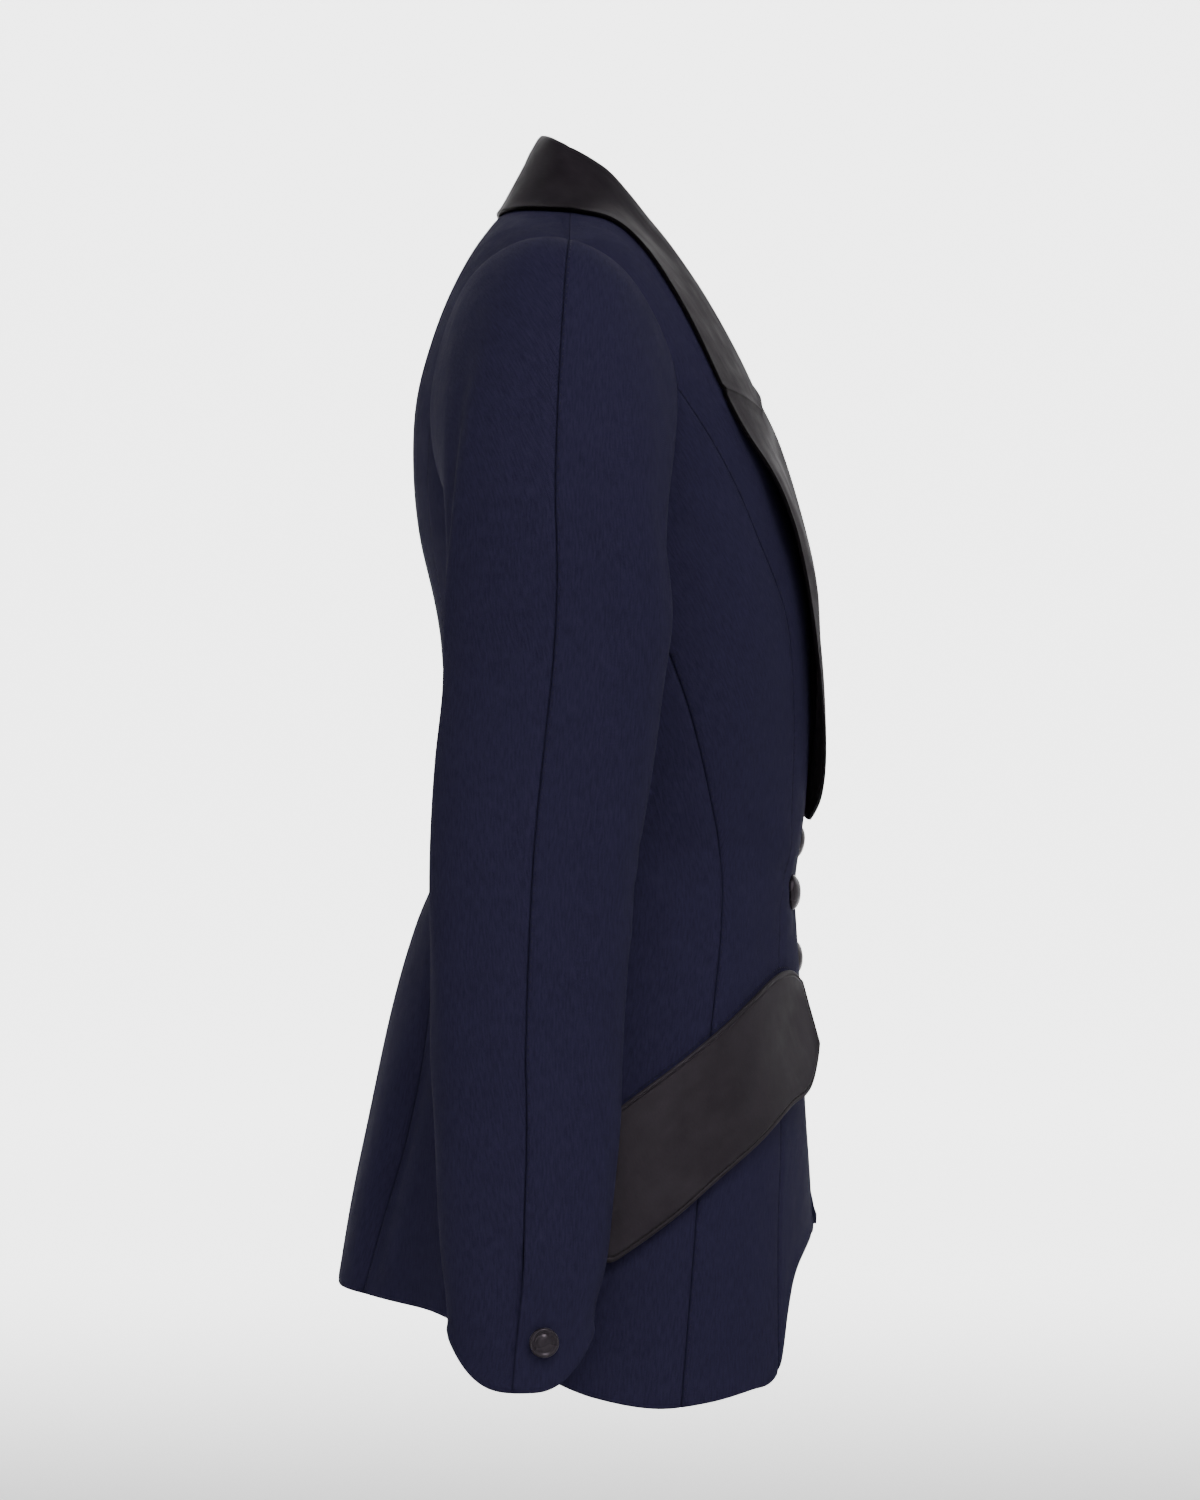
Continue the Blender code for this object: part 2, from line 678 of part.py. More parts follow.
def make_sides(princess, side, back):
    """The side-front and side-back panels under the arm."""
    panels = (
        ("side_front", princess, side, armhole_run(FRONT_NOTCH, SIDE_SEAM_NOTCH)),
        ("side_back", side, back, armhole_run(SIDE_SEAM_NOTCH, BACK_NOTCH)),
    )
    for name, left, right, top in panels:
        bottom = hem_run(left[0], right[0], len(top) - 1)
        places = between(bottom, top, left, right)
        for end, lift, mirrored in (("_right", right_lift, False), ("_left", left_lift, True)):
            points, normals = surface(places, lift)
            points = seam_inset(points, normals, ("first column", "last column", "last row"))
            wall(name + end, points, normals, WOOL, mirrored)


def make_back(back):
    """The back, in one panel from princess seam to princess seam."""
    outer_side = back + armhole_run(BACK_NOTCH, len(ARMHOLE))[1:]
    neck = [back_neck_place(i / BACK_NECK_COLUMNS) for i in range(BACK_NECK_COLUMNS + 1)]
    top = shoulder_run(front=False) + neck[1:]
    rows = len(outer_side) - 1
    centre_bottom = hem_place(lambda v: math.pi)
    centre = []
    for i in range(rows + 1):
        v = centre_bottom[1] + (neck[-1][1] - centre_bottom[1]) * i / rows
        centre.append((math.pi, v))
    bottom = hem_run(outer_side[0], centre[0], len(top) - 1)
    half = between(bottom, top, outer_side, centre)
    places = [line + [(2 * math.pi - angle, v) for angle, v in line[-2::-1]] for line in half]
    points, normals = surface(places)
    points = seam_inset(points, normals, ("first column", "last column", "last row"))
    wall("back", points, normals, WOOL)


def turned_line(base, edge, rise, stand=lambda f: 0.0, lift=lambda p: 0.0):
    """The middle of a turned-over wall: up from base, over a soft roll and down to edge."""
    def ground(place):
        p = body_point(*place)
        return p + body_normal(*place) * (lift(p) + LAY_GAP + CLOTH / 2)

    foot = ground(base)
    end = ground(edge)
    outward = Vector((end.x - foot.x, end.y - foot.y, 0.0)).normalized()
    line = [foot + rise * share for share in STAND_STEPS]
    line.append(foot + rise + outward * FOLD_OUT)
    for f in FALL_STEPS:
        spot = (base[0] + (edge[0] - base[0]) * f, base[1] + (edge[1] - base[1]) * f)
        out = outward * FOLD_OUT * 2 * (1 - f) ** 3 + body_normal(*spot) * stand(f)
        line.append(ground(spot) + rise * (1 - f) ** FALL_POWER + out)
    return line


def turned_rings(stations, first_around=None):
    """Closed rings of a wall of cloth about the middle lines of its stations."""
    rings = []
    for i, line in enumerate(stations):
        before = stations[max(i - 1, 0)]
        after = stations[min(i + 1, len(stations) - 1)]
        outer = []
        inner = []
        for j, p in enumerate(line):
            around = after[j] - before[j]
            if i == 0 and first_around:
                around = first_around
            across = line[min(j + 1, len(line) - 1)] - line[max(j - 1, 0)]
            side = around.cross(across).normalized() * (CLOTH / 2)
            outer.append(p + side)
            inner.append(p - side)
        rings.append(outer + inner[::-1])
    return rings


def drawn_back(ring, neighbour):
    """A ring moved towards its neighbour by half a seam's gap."""
    return [p + (q - p).normalized() * SEAM_GAP for p, q in zip(ring, neighbour)]


def collar_edge(along):
    """Place of the collar's outer edge."""
    return in_plan(column_value(COLLAR, "along", "edge_x", along),
                   column_value(COLLAR, "along", "edge_y", along))


def make_lapels():
    """Both lapels, rolled over at the roll line, with the outer edge standing off the chest."""
    gorge_z = body_point(*roll_place(1.0)).z
    edge_z = body_point(*collar_edge(1.0)).z
    for name, side, lift, power, mirrored in (
            ("lapel_right", "right", right_lift, LAPEL_STAND_POWER, False),
            ("lapel_left", "left", left_lift, LEFT_STAND_POWER, True)):
        stations = []
        for i in range(LAPEL_ROWS + 1):
            s = i / LAPEL_ROWS
            z = edge_z + (LAPEL[-1].z - edge_z) * s
            roll_z = gorge_z + (BREAK_Z - gorge_z) * s
            base = at_front(lower_roll_x(roll_z), roll_z)
            edge = at_front(column_value(LAPEL, "z", "edge_x", z), z)
            if i == 0:
                base = roll_place(1.0)
                edge = collar_edge(1.0)
            rise = body_normal(*base) * column_value(LAPEL, "z", "roll_" + side, z)
            stand = column_value(LAPEL, "z", "stand_" + side, z)
            stations.append(turned_line(base, edge, rise,
                                        lambda f, h=stand, w=power: h * f ** w, lift))
        rings = turned_rings(stations)
        rings[0] = drawn_back(rings[0], rings[1])
        closed_mesh(name, rings, SATIN, mirrored)


def make_collar():
    """The collar's stand and fall, round the back neck to both gorge seams."""
    stations = []
    for i in range(COLLAR_STATIONS + 1):
        along = -1.0 + 2.0 * i / COLLAR_STATIONS
        base = back_neck_place(-along) if along < 0 else roll_place(along)
        rise = Vector((column_value(COLLAR, "along", "rise_in", along),
                       column_value(COLLAR, "along", "rise_back", along),
                       column_value(COLLAR, "along", "rise_up", along)))
        stations.append(turned_line(base, collar_edge(along), rise))
    rings = turned_rings(stations, first_around=Vector((-1.0, 0.0, 0.0)))
    rings[-1] = drawn_back(rings[-1], rings[-2])
    mirror = [[Vector((-p.x, p.y, p.z)) for p in ring] for ring in rings[:0:-1]]
    closed_mesh("collar", mirror + rings, SATIN, mirrored=False)


def make_flaps():
    """The slanted hip flaps, sewn at the top edge and loose below."""
    points = []
    normals = []
    for i in range(FLAP_ROWS + 1):
        f = i / FLAP_ROWS
        point_line = []
        normal_line = []
        for j in range(FLAP_COLUMNS + 1):
            degrees = FLAP[0].angle + (FLAP[-1].angle - FLAP[0].angle) * j / FLAP_COLUMNS
            row = [column_value(FLAP, "angle", key, degrees)
                   for key in ("top", "bottom", "lift_top", "lift_bottom")]
            z = row[0] + (row[1] - row[0]) * f
            angle = math.radians(degrees)
            v = height_index(lambda w, a=angle: a, z)
            p = body_point(angle, v)
            n = body_normal(angle, v)
            stand = row[2] + (row[3] - row[2]) * f
            point_line.append(p + n * (right_lift(p) + LAY_GAP + CLOTH + stand))
            normal_line.append(n)
        points.append(point_line)
        normals.append(normal_line)
    wall("flap_right", points, normals, SATIN)
    wall("flap_left", points, normals, SATIN, mirrored=True)


def armhole_ring():
    """The sleeve's head: the armhole's own points, just outside it."""
    places = armhole_run(0, len(ARMHOLE))[:-1]
    ring = []
    for k, place in enumerate(places):
        under = (1 - math.cos(2 * math.pi * k / len(places))) / 2
        out = body_normal(*place) * (UNDER_ARM_GAP * under)
        ring.append(body_point(*place) + out + Vector((-ARMHOLE_GAP, 0.0, 0.0)))
    return ring


def sleeve_ring(z, count):
    """One ring of the hanging sleeve, from the centre seam round the front and under."""
    turns = [2 * math.pi * k / count for k in range(count)]
    row = {key: column_value(SLEEVE, "z", key, z) for key in ("x", "y", "half_x", "half_y", "tilt")}
    ring = []
    for turn in turns:
        rise = CUFF_RISE * abs(math.sin(turn)) ** 3 * smooth_step(CUFF_START, SLEEVE[-1].z, z)
        ring.append(Vector((-row["x"] - row["half_x"] * math.cos(turn),
                            row["y"] - row["half_y"] * math.sin(turn),
                            z + row["tilt"] * math.cos(turn) + rise)))
    return ring


def cap_ring(head, arm, share):
    """A ring of the sleeve's cap: a soft bend from the armhole over to the arm."""
    count = len(head)
    ring = []
    for k in range(count):
        turn = 2 * math.pi * k / count
        under = ((1 - math.cos(turn)) / 2) ** 1.5
        away = Vector((-1.0, 0.0, CAP_ROPE + (CAP_UNDER - CAP_ROPE) * under)).normalized()
        pull = (arm[k] - head[k]).length * CAP_PULL
        a = head[k]
        b = head[k] + away * pull
        c = arm[k] + Vector((0.0, 0.0, pull))
        d = arm[k]
        t = share
        ring.append(a * (1 - t) ** 3 + b * 3 * t * (1 - t) ** 2
                    + c * 3 * t * t * (1 - t) + d * t ** 3)
    return ring


def sleeve_grid():
    """All rings of a right sleeve, with the cloth's outward direction at each point."""
    head = armhole_ring()
    count = len(head)
    arm = sleeve_ring(SLEEVE[0].z, count)
    rings = [cap_ring(head, arm, i / CAP_STEPS) for i in range(CAP_STEPS)]
    for i in range(SLEEVE_STEPS + 1):
        z = SLEEVE[0].z + (SLEEVE[-1].z - SLEEVE[0].z) * i / SLEEVE_STEPS
        rings.append(sleeve_ring(z, count))
    normals = []
    for i, ring in enumerate(rings):
        low = rings[max(i - 1, 0)]
        high = rings[min(i + 1, len(rings) - 1)]
        line = []
        for k in range(count):
            down = high[k] - low[k]
            around = ring[(k + 1) % count] - ring[(k - 1) % count]
            line.append(down.cross(around).normalized())
        normals.append(line)
    return rings, normals


def make_sleeves():
    """The front and back half of each sleeve, with a lapped vent at the cuff."""
    rings, normals = sleeve_grid()
    count = len(rings[0])
    under = UNDER_ARM * ARMHOLE_STEPS
    halves = (("sleeve_front", list(range(under + 1))),
              ("sleeve_back", list(range(under, count)) + [0]))
    for name, columns in halves:
        points = [[ring[k].copy() for k in columns] for ring in rings]
        outward = [[line[k] for k in columns] for line in normals]
        points = seam_inset(points, outward, ("first column", "last column"))
        if name == "sleeve_front":
            for line, out in zip(points, outward):
                depth = -line[0].z
                rise = LAP_LIFT * smooth_step(-VENT_TOP - VENT_RAMP, -VENT_TOP, depth)
                start = -VENT_TOP + VENT_LAP_DELAY * VENT_RAMP
                lap = VENT_LAP * smooth_step(start, -VENT_TOP + VENT_RAMP, depth)
                past = (line[0] - line[1]).normalized()
                for k, share in enumerate(VENT_LIFT):
                    line[k] += out[k] * (rise * share)
                line[0] += past * lap
        wall(name + "_right", points, outward, WOOL)
        wall(name + "_left", points, outward, WOOL, mirrored=True)


def make_button(name, profile, seat, direction):
    """A turned button that faces along direction, with its base on the seat."""
    mesh = bpy.data.meshes.new(name)
    vertices = [(r, 0.0, h) for r, h in profile]
    edges = [(i, i + 1) for i in range(len(vertices) - 1)]
    mesh.from_pydata(vertices, edges, [])
    button = new_object(name, mesh, SATIN)
    turn = button.modifiers.new("turn", "SCREW")
    turn.steps = BUTTON_STEPS
    turn.render_steps = BUTTON_STEPS
    turn.use_merge_vertices = True
    turn.merge_threshold = 0.00001
    turn.use_smooth_shade = True
    button.matrix_world = (Matrix.Translation(seat)
                           @ direction.to_track_quat("Z", "Y").to_matrix().to_4x4())
    return button


def make_front_buttons():
    """The front buttons, zigzag on the right front."""
    def front_point(x, z):
        place = at_front(-x, z)
        p = body_point(*place)
        return p + body_normal(*place) * right_lift(p)

    reach = FRONT_BUTTON[4][0]
    for button in FRONT_BUTTONS:
        x = button.x
        z = button.z
        across = front_point(x + reach, z) - front_point(x - reach, z)
        up = front_point(x, z + reach) - front_point(x, z - reach)
        n = across.cross(up).normalized()
        middle = front_point(x, z)
        corners = [front_point(x + a * reach, z + b * reach) for a in (-0.7, 0.7)
                   for b in (-0.7, 0.7)]
        proud = max(0.0, max((corner - middle).dot(n) for corner in corners))
        make_button(button.name, FRONT_BUTTON, middle + n * (proud + BUTTON_SEAT), n)


def make_cuff_buttons():
    """One button on the lapped front edge of each cuff's vent."""
    row = {key: column_value(SLEEVE, "z", key, CUFF_BUTTON_Z)
           for key in ("x", "y", "half_x", "half_y")}
    turn = math.radians(CUFF_BUTTON_TURN)
    n = Vector((-math.cos(turn) / row["half_x"], -math.sin(turn) / row["half_y"], 0.0)).normalized()
    p = Vector((-row["x"] - row["half_x"] * math.cos(turn),
                row["y"] - row["half_y"] * math.sin(turn), CUFF_BUTTON_Z))
    seat = p + n * (LAP_LIFT + BUTTON_SEAT)
    make_button("button_cuff_right", CUFF_BUTTON, seat, n)
    make_button("button_cuff_left", CUFF_BUTTON, Vector((-seat.x, seat.y, seat.z)),
                Vector((-n.x, n.y, n.z)))


def main():
    """Clear the scene and build the blazer."""
    for thing in list(bpy.data.objects):
        bpy.data.objects.remove(thing)
    blazer = bpy.data.collections.new("tuxedo blazer")
    bpy.context.scene.collection.children.link(blazer)
    princess, side, back = seam_places()
    make_fronts(princess)
    make_sides(princess, side, back)
    make_back(back)
    make_lapels()
    make_collar()
    make_flaps()
    make_sleeves()
    make_front_buttons()
    make_cuff_buttons()


main()
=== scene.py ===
"""Looks of the tuxedo blazer: every piece as a thin shell of cloth on its solid's form.

Metres, +Z up, in the part's own frame. The front faces -Y and the wearer's right side is at -X.
The body is one smooth surface worked out from a table of sections. Each panel is the stretch of
it between its own seams, read at a fine step, with its creases as soft troughs and ridges.
"""

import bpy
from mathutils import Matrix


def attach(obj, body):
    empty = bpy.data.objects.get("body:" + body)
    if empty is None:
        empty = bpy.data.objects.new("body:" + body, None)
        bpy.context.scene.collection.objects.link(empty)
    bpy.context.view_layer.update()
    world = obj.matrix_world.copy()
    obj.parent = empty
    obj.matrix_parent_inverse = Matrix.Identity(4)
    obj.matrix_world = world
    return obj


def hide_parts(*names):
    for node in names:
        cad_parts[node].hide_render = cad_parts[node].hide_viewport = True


bl_info = {
    "name": "Tuxedo Blazer",
    "version": (1, 0, 0),
    "blender": (4, 5, 0),
    "location": "View3D > Sidebar > Blazer",
    "description": "Builds the cloth, satin, buttons and stitching of a long tuxedo blazer",
    "category": "Add Mesh",
}

import math
from collections import namedtuple

import bpy
import numpy as np
from bpy.props import FloatProperty, FloatVectorProperty, PointerProperty
from mathutils import Matrix, Vector

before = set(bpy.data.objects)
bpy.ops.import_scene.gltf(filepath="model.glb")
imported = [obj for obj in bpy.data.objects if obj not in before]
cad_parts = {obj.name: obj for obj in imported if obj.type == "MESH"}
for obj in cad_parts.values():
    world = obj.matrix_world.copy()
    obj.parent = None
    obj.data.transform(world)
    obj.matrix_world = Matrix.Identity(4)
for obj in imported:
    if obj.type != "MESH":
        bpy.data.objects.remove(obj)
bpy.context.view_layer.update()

# Cloth
CLOTH = 0.002            # wall of each piece
SEAM_GAP = 0.00006       # between pieces at a seam, pulled shut by the sewing
SEAM_INSET = SEAM_GAP / 2 * 1.1  # of each piece; a little over half, for where a seam bends
LAY_GAP = 0.0011         # between a panel and what lies on it

# Body surface, from below the hem up to the shoulder seams. The squares are the powers that round
# a section's front and back, and drop is how far its sides lie below its middle.
Section = namedtuple("Section", "z half_width front back middle front_square back_square drop")
SECTIONS = (
    Section(-0.720, 0.202, -0.1310, 0.1710, 0.010, 2.5, 2.4, 0.000),
    Section(-0.620, 0.187, -0.1270, 0.1555, 0.008, 2.5, 2.4, 0.000),
    Section(-0.560, 0.175, -0.1240, 0.1435, 0.006, 2.6, 2.4, 0.000),
    Section(-0.490, 0.156, -0.1210, 0.1285, 0.004, 2.6, 2.4, 0.000),
    Section(-0.440, 0.139, -0.1185, 0.1140, 0.002, 2.5, 2.4, 0.000),
    Section(-0.400, 0.131, -0.1165, 0.0980, 0.000, 2.4, 2.4, 0.000),
    Section(-0.360, 0.135, -0.1205, 0.0910, 0.000, 2.4, 2.4, 0.000),
    Section(-0.305, 0.146, -0.1235, 0.0955, 0.002, 2.5, 2.6, 0.000),
    Section(-0.250, 0.156, -0.1225, 0.1005, 0.006, 2.6, 2.8, 0.000),
    Section(-0.200, 0.165, -0.1165, 0.1112, 0.010, 2.6, 3.0, 0.000),
    Section(-0.158, 0.171, -0.1080, 0.1147, 0.012, 2.6, 3.2, 0.004),
    Section(-0.118, 0.176, -0.0925, 0.1125, 0.014, 2.65, 3.4, 0.010),
    Section(-0.080, 0.179, -0.0725, 0.1030, 0.015, 2.7, 3.4, 0.018),
    Section(-0.045, 0.180, -0.0515, 0.0895, 0.016, 2.8, 3.3, 0.027),
    Section(-0.015, 0.180, -0.0295, 0.0720, 0.017, 2.9, 3.2, 0.035),
    Section(0.003, 0.178, -0.0080, 0.0530, 0.018, 3.0, 3.0, 0.041),
    Section(0.008, 0.176, 0.0180, 0.0180, 0.018, 3.0, 3.0, 0.043),
)
TOP = len(SECTIONS) - 1  # the shoulder seams
DROP_POWER = 1.6         # how the shoulders slope away from the neck
HALVINGS = 40            # of the range in which a height or a plan point is looked for
HEM_ROUNDS = 12          # of a seam's search for the hem
FULL_WIDTH = 0.999999    # share of the half width that counts as the side itself

# Soft flutes of the skirt: angle from centre front, half spread, depth at the hem, start height
Flute = namedtuple("Flute", "angle spread depth start")
FLUTES = (
    Flute(108, 13, 0.006, -0.50),
    Flute(131, 10, -0.012, -0.44),
    Flute(153, 10, 0.007, -0.46),
    Flute(60, 12, -0.004, -0.56),
)
FLUTE_POWER = 1.3        # how a flute deepens from its start to the hem

# Seams of the body, on the wearer's right; the left is its mirror
Seam = namedtuple("Seam", "z princess_x side_y back_princess_x")
SEAMS = (
    Seam(-0.720, 0.137, -0.0480, 0.112),
    Seam(-0.620, 0.121, -0.0560, 0.110),
    Seam(-0.560, 0.107, -0.0605, 0.111),
    Seam(-0.490, 0.093, -0.0670, 0.106),
    Seam(-0.440, 0.074, -0.0725, 0.086),
    Seam(-0.400, 0.056, -0.0730, 0.066),
    Seam(-0.360, 0.062, -0.0660, 0.060),
    Seam(-0.305, 0.072, -0.0520, 0.068),
    Seam(-0.250, 0.086, -0.0310, 0.083),
    Seam(-0.200, 0.118, -0.0130, 0.103),
)

# Armhole, from the shoulder point down the front and up the back
Armhole = namedtuple("Armhole", "place y z")
ARMHOLE = (
    Armhole("shoulder", 0.0180, -0.035),
    Armhole("front top", -0.0123, -0.050),
    Armhole("front middle", -0.0335, -0.080),
    Armhole("front notch", -0.0447, -0.117),
    Armhole("front low", -0.0390, -0.160),
    Armhole("side seam", -0.0120, -0.197),
    Armhole("under arm", 0.0220, -0.208),
    Armhole("back low", 0.0600, -0.197),
    Armhole("back curve", 0.0900, -0.168),
    Armhole("back notch", 0.0995, -0.130),
    Armhole("back middle", 0.0930, -0.086),
    Armhole("back high", 0.0765, -0.051),
    Armhole("back top", 0.0480, -0.035),
)
FRONT_NOTCH = 3          # rows of the table where the body's seams end
SIDE_SEAM_NOTCH = 5
BACK_NOTCH = 9
UNDER_ARM = 6            # and where the sleeve's under seam does
ARMHOLE_STEPS = 2        # coarse steps for each row of the armhole table

# Hem height by the angle from centre front, in degrees
Hem = namedtuple("Hem", "angle z")
HEM = (
    Hem(0, -0.626),
    Hem(14, -0.629),
    Hem(24, -0.638),
    Hem(30, -0.650),
    Hem(34, -0.668),
    Hem(38, -0.696),
    Hem(42, -0.7060),
    Hem(48, -0.7085),
    Hem(60, -0.7135),
    Hem(73, -0.7148),
    Hem(88, -0.7075),
    Hem(95, -0.7000),
    Hem(108, -0.6810),
    Hem(120, -0.6650),
    Hem(135, -0.6595),
    Hem(150, -0.6555),
    Hem(180, -0.6520),
)

# Front edge and neck
NECK_HALF = 0.070        # shoulder seam's neck end from the centre
NECK_DROP_BACK = 0.022   # centre back of the neckline behind the shoulder seam
OVERLAP = 0.034          # how far each front passes the centre at the closure
BREAK_Z = -0.371         # where the roll line meets the front edge
GORGE_X = 0.037          # where the gorge seam meets the roll line
GORGE_Y = -0.0945
ROLL_POWER = 1.7         # how the roll line leaves the neck
FrontEdge = namedtuple("FrontEdge", "z past_centre")
FRONT_EDGE = (
    FrontEdge(-0.629, -0.030),
    FrontEdge(-0.600, -0.016),
    FrontEdge(-0.560, 0.006),
    FrontEdge(-0.515, 0.025),
    FrontEdge(-0.470, 0.034),
    FrontEdge(-0.420, 0.034),
    FrontEdge(-0.371, 0.034),
)

# Lapel: outer edge by height, how far that edge stands off the chest, and the soft roll
Lapel = namedtuple("Lapel", "z edge_x stand_right stand_left roll_right roll_left")
LAPEL = (
    Lapel(-0.116, 0.1275, 0.000, 0.000, 0.0045, 0.0045),
    Lapel(-0.134, 0.1258, 0.001, 0.001, 0.0045, 0.0045),
    Lapel(-0.147, 0.1190, 0.003, 0.003, 0.0045, 0.0045),
    Lapel(-0.160, 0.1090, 0.005, 0.005, 0.0045, 0.0045),
    Lapel(-0.177, 0.1005, 0.008, 0.007, 0.0045, 0.0045),
    Lapel(-0.190, 0.0940, 0.009, 0.007, 0.0045, 0.0038),
    Lapel(-0.204, 0.0870, 0.009, 0.007, 0.0045, 0.0030),
    Lapel(-0.250, 0.0710, 0.007, 0.006, 0.0040, 0.0010),
    Lapel(-0.300, 0.0560, 0.008, 0.005, 0.0035, 0.0004),
    Lapel(-0.335, 0.0410, 0.009, 0.002, 0.0030, 0.0004),
    Lapel(-0.358, 0.0200, 0.007, 0.000, 0.0025, 0.0004),
    Lapel(-0.374, -0.0100, 0.003, 0.000, 0.0020, 0.0004),
)
LAPEL_STAND_POWER = 1.7  # the right lapel curls off the chest over most of its width
LEFT_STAND_POWER = 3.0   # the left one only near its edge, clear of the right front

# Collar: stations from centre back (-1) past the shoulder seam (0) to the gorge seam (1)
Collar = namedtuple("Collar", "along edge_x edge_y rise_in rise_back rise_up")
COLLAR = (
    Collar(-1.00, 0.000, 0.0620, 0.000, -0.0070, 0.0390),
    Collar(-0.66, 0.042, 0.0600, 0.004, -0.0060, 0.0390),
    Collar(-0.33, 0.077, 0.0470, 0.007, -0.0030, 0.0380),
    Collar(0.00, 0.100, 0.0180, 0.009, 0.0000, 0.0330),
    Collar(0.16, 0.108, 0.0018, 0.008, -0.0020, 0.0230),
    Collar(0.27, 0.113, -0.0140, 0.005, -0.0030, 0.0125),
    Collar(0.37, 0.117, -0.0270, 0.003, -0.0035, 0.0060),
    Collar(0.50, 0.1205, -0.0400, 0.002, -0.0036, 0.0040),
    Collar(0.70, 0.1235, -0.0550, 0.000, -0.0037, 0.0035),
    Collar(1.00, 0.1260, -0.0765, 0.000, -0.0038, 0.0024),
)

# Turned-over pieces, from the foot that is sewn on, over the roll and down to the outer edge
FALL_POWER = 1.6         # how the fall comes down from the roll to the cloth below
FALL_STEPS = (0.14, 0.3, 0.46, 0.64, 0.82, 1.0)  # shares of the way from the roll to the edge
STAND_STEPS = (0.0, 0.4, 0.8)  # shares of the roll's height
ROLL_SHARE = 0.12        # share of the whole width that lies before the roll
FOLD_OUT = 0.0025        # half the thickness of the soft roll
FOLD_FADE = 3            # how that thickness dies away over the fall
FOOT_DROP = 0.0030       # the foot wraps the edge that it is sewn to
FOOT_OUT = 0.0012
# The angled gorge seam: share across the piece, and metres along it from the gorge
GORGE_LINE = ((0.00, -0.0090), (0.12, -0.0090), (0.48, 0.0080), (1.00, -0.0126))

# Hip flap: rows from its front end round to its back end
Flap = namedtuple("Flap", "angle top bottom lift_top lift_bottom")
FLAP = (
    Flap(23, -0.473, -0.527, 0.003, 0.012),
    Flap(28, -0.466, -0.538, 0.001, 0.010),
    Flap(36, -0.468, -0.546, 0.000, 0.006),
    Flap(46, -0.480, -0.563, 0.000, 0.004),
    Flap(58, -0.500, -0.584, 0.000, 0.003),
    Flap(69, -0.519, -0.606, 0.000, 0.003),
    Flap(78, -0.534, -0.622, 0.000, 0.003),
    Flap(86, -0.548, -0.635, 0.000, 0.003),
)

# Sleeve: sections below the armhole, centre and half sizes
Sleeve = namedtuple("Sleeve", "z x y half_x half_y tilt")
SLEEVE = (
    Sleeve(-0.215, 0.2150, 0.0255, 0.0445, 0.0640, 0.025),
    Sleeve(-0.255, 0.2135, 0.0245, 0.0435, 0.0665, 0.018),
    Sleeve(-0.295, 0.2120, 0.0270, 0.0420, 0.0640, 0.011),
    Sleeve(-0.340, 0.2110, 0.0323, 0.0400, 0.0634, 0.006),
    Sleeve(-0.391, 0.2120, 0.0377, 0.0385, 0.0608, 0.002),
    Sleeve(-0.451, 0.2150, 0.0409, 0.0375, 0.0576, 0.000),
    Sleeve(-0.507, 0.2185, 0.0424, 0.0365, 0.0556, 0.000),
    Sleeve(-0.548, 0.2220, 0.0418, 0.0355, 0.0537, 0.000),
    Sleeve(-0.596, 0.2275, 0.0429, 0.0345, 0.0504, 0.000),
    Sleeve(-0.640, 0.2335, 0.0436, 0.0335, 0.0468, 0.000),
    Sleeve(-0.672, 0.2375, 0.0450, 0.0330, 0.0430, 0.000),
    Sleeve(-0.696, 0.2400, 0.0455, 0.0325, 0.0415, 0.000),
)
CAP_ROPE = 0.18          # rise of the sleeve head as it leaves the shoulder
CAP_UNDER = -2.20        # fall of the sleeve as it leaves the underarm
CAP_UNDER_POWER = 1.5    # how the one becomes the other round the armhole
CAP_PULL = 0.35          # roundness of the cap
CAP_SMOOTH = 4           # coarse steps from the armhole over which creases begin
ARMHOLE_GAP = 0.0006     # between a sleeve's head and the armhole
UNDER_ARM_GAP = 0.0020   # more under the arm, where the sleeve hangs outside the body
CUFF_RISE = 0.028        # rise of the curved cuff at its front and back folds
CUFF_START = -0.600      # height at which that rise begins
VENT_TOP = -0.624        # top of the cuff's vent
VENT_LAP = 0.0045        # by which the vent's front edge laps over the back one
VENT_RAMP = 0.032        # height over which the lapping edge rises off the sleeve
VENT_LAP_RUN = 0.072     # height over which it comes to pass over the back edge
VENT_LIFT = (1.0, 1.0, 0.35, 0.0)  # share of the lift at each coarse step from the edge

# Front closure: how far the right front passes over the left front and its lapel
LAP_LIFT = 0.0031        # over one layer
LAPEL_LAP_LIFT = 0.0038  # more, over the hidden end of the left lapel
LAP_RUN_X = (-0.105, -OVERLAP - 0.008)  # where it begins, and where it is full
LAP_RUN_Z = (-0.240, -0.150)  # where it dies away towards the neck
LAPEL_LAP_RUN_Z = (-0.430, -0.385)  # where the lapel's share begins, and where it is full
LEFT_FLARE = 0.012       # the left front's lower corner swings forward
LEFT_FLARE_RUN_X = (-0.110, 0.000)  # where it begins, and where it is full
LEFT_FLARE_RUN_Z = (-0.575, -0.645)

# Buttons: profiles as (radius, height), from the middle of the face round to the back
FRONT_BUTTON = ((0.0, 0.0065), (0.002, 0.00645), (0.004, 0.0062), (0.006, 0.0057),
                (0.0078, 0.0049), (0.0094, 0.0038), (0.0104, 0.0027), (0.0109, 0.0016),
                (0.0106, 0.0007), (0.0098, 0.0002), (0.0085, 0.0), (0.0, 0.0))
CUFF_BUTTON = ((0.0, 0.0047), (0.0018, 0.0046), (0.0034, 0.0042), (0.0047, 0.0034),
               (0.0055, 0.0029), (0.0060, 0.0032), (0.0066, 0.0038), (0.0073, 0.0040),
               (0.0080, 0.0037), (0.0085, 0.0028), (0.0085, 0.0014), (0.0081, 0.0005),
               (0.0072, 0.0), (0.0, 0.0))
BUTTON_SEAT = 0.0007     # between a button's back and the cloth
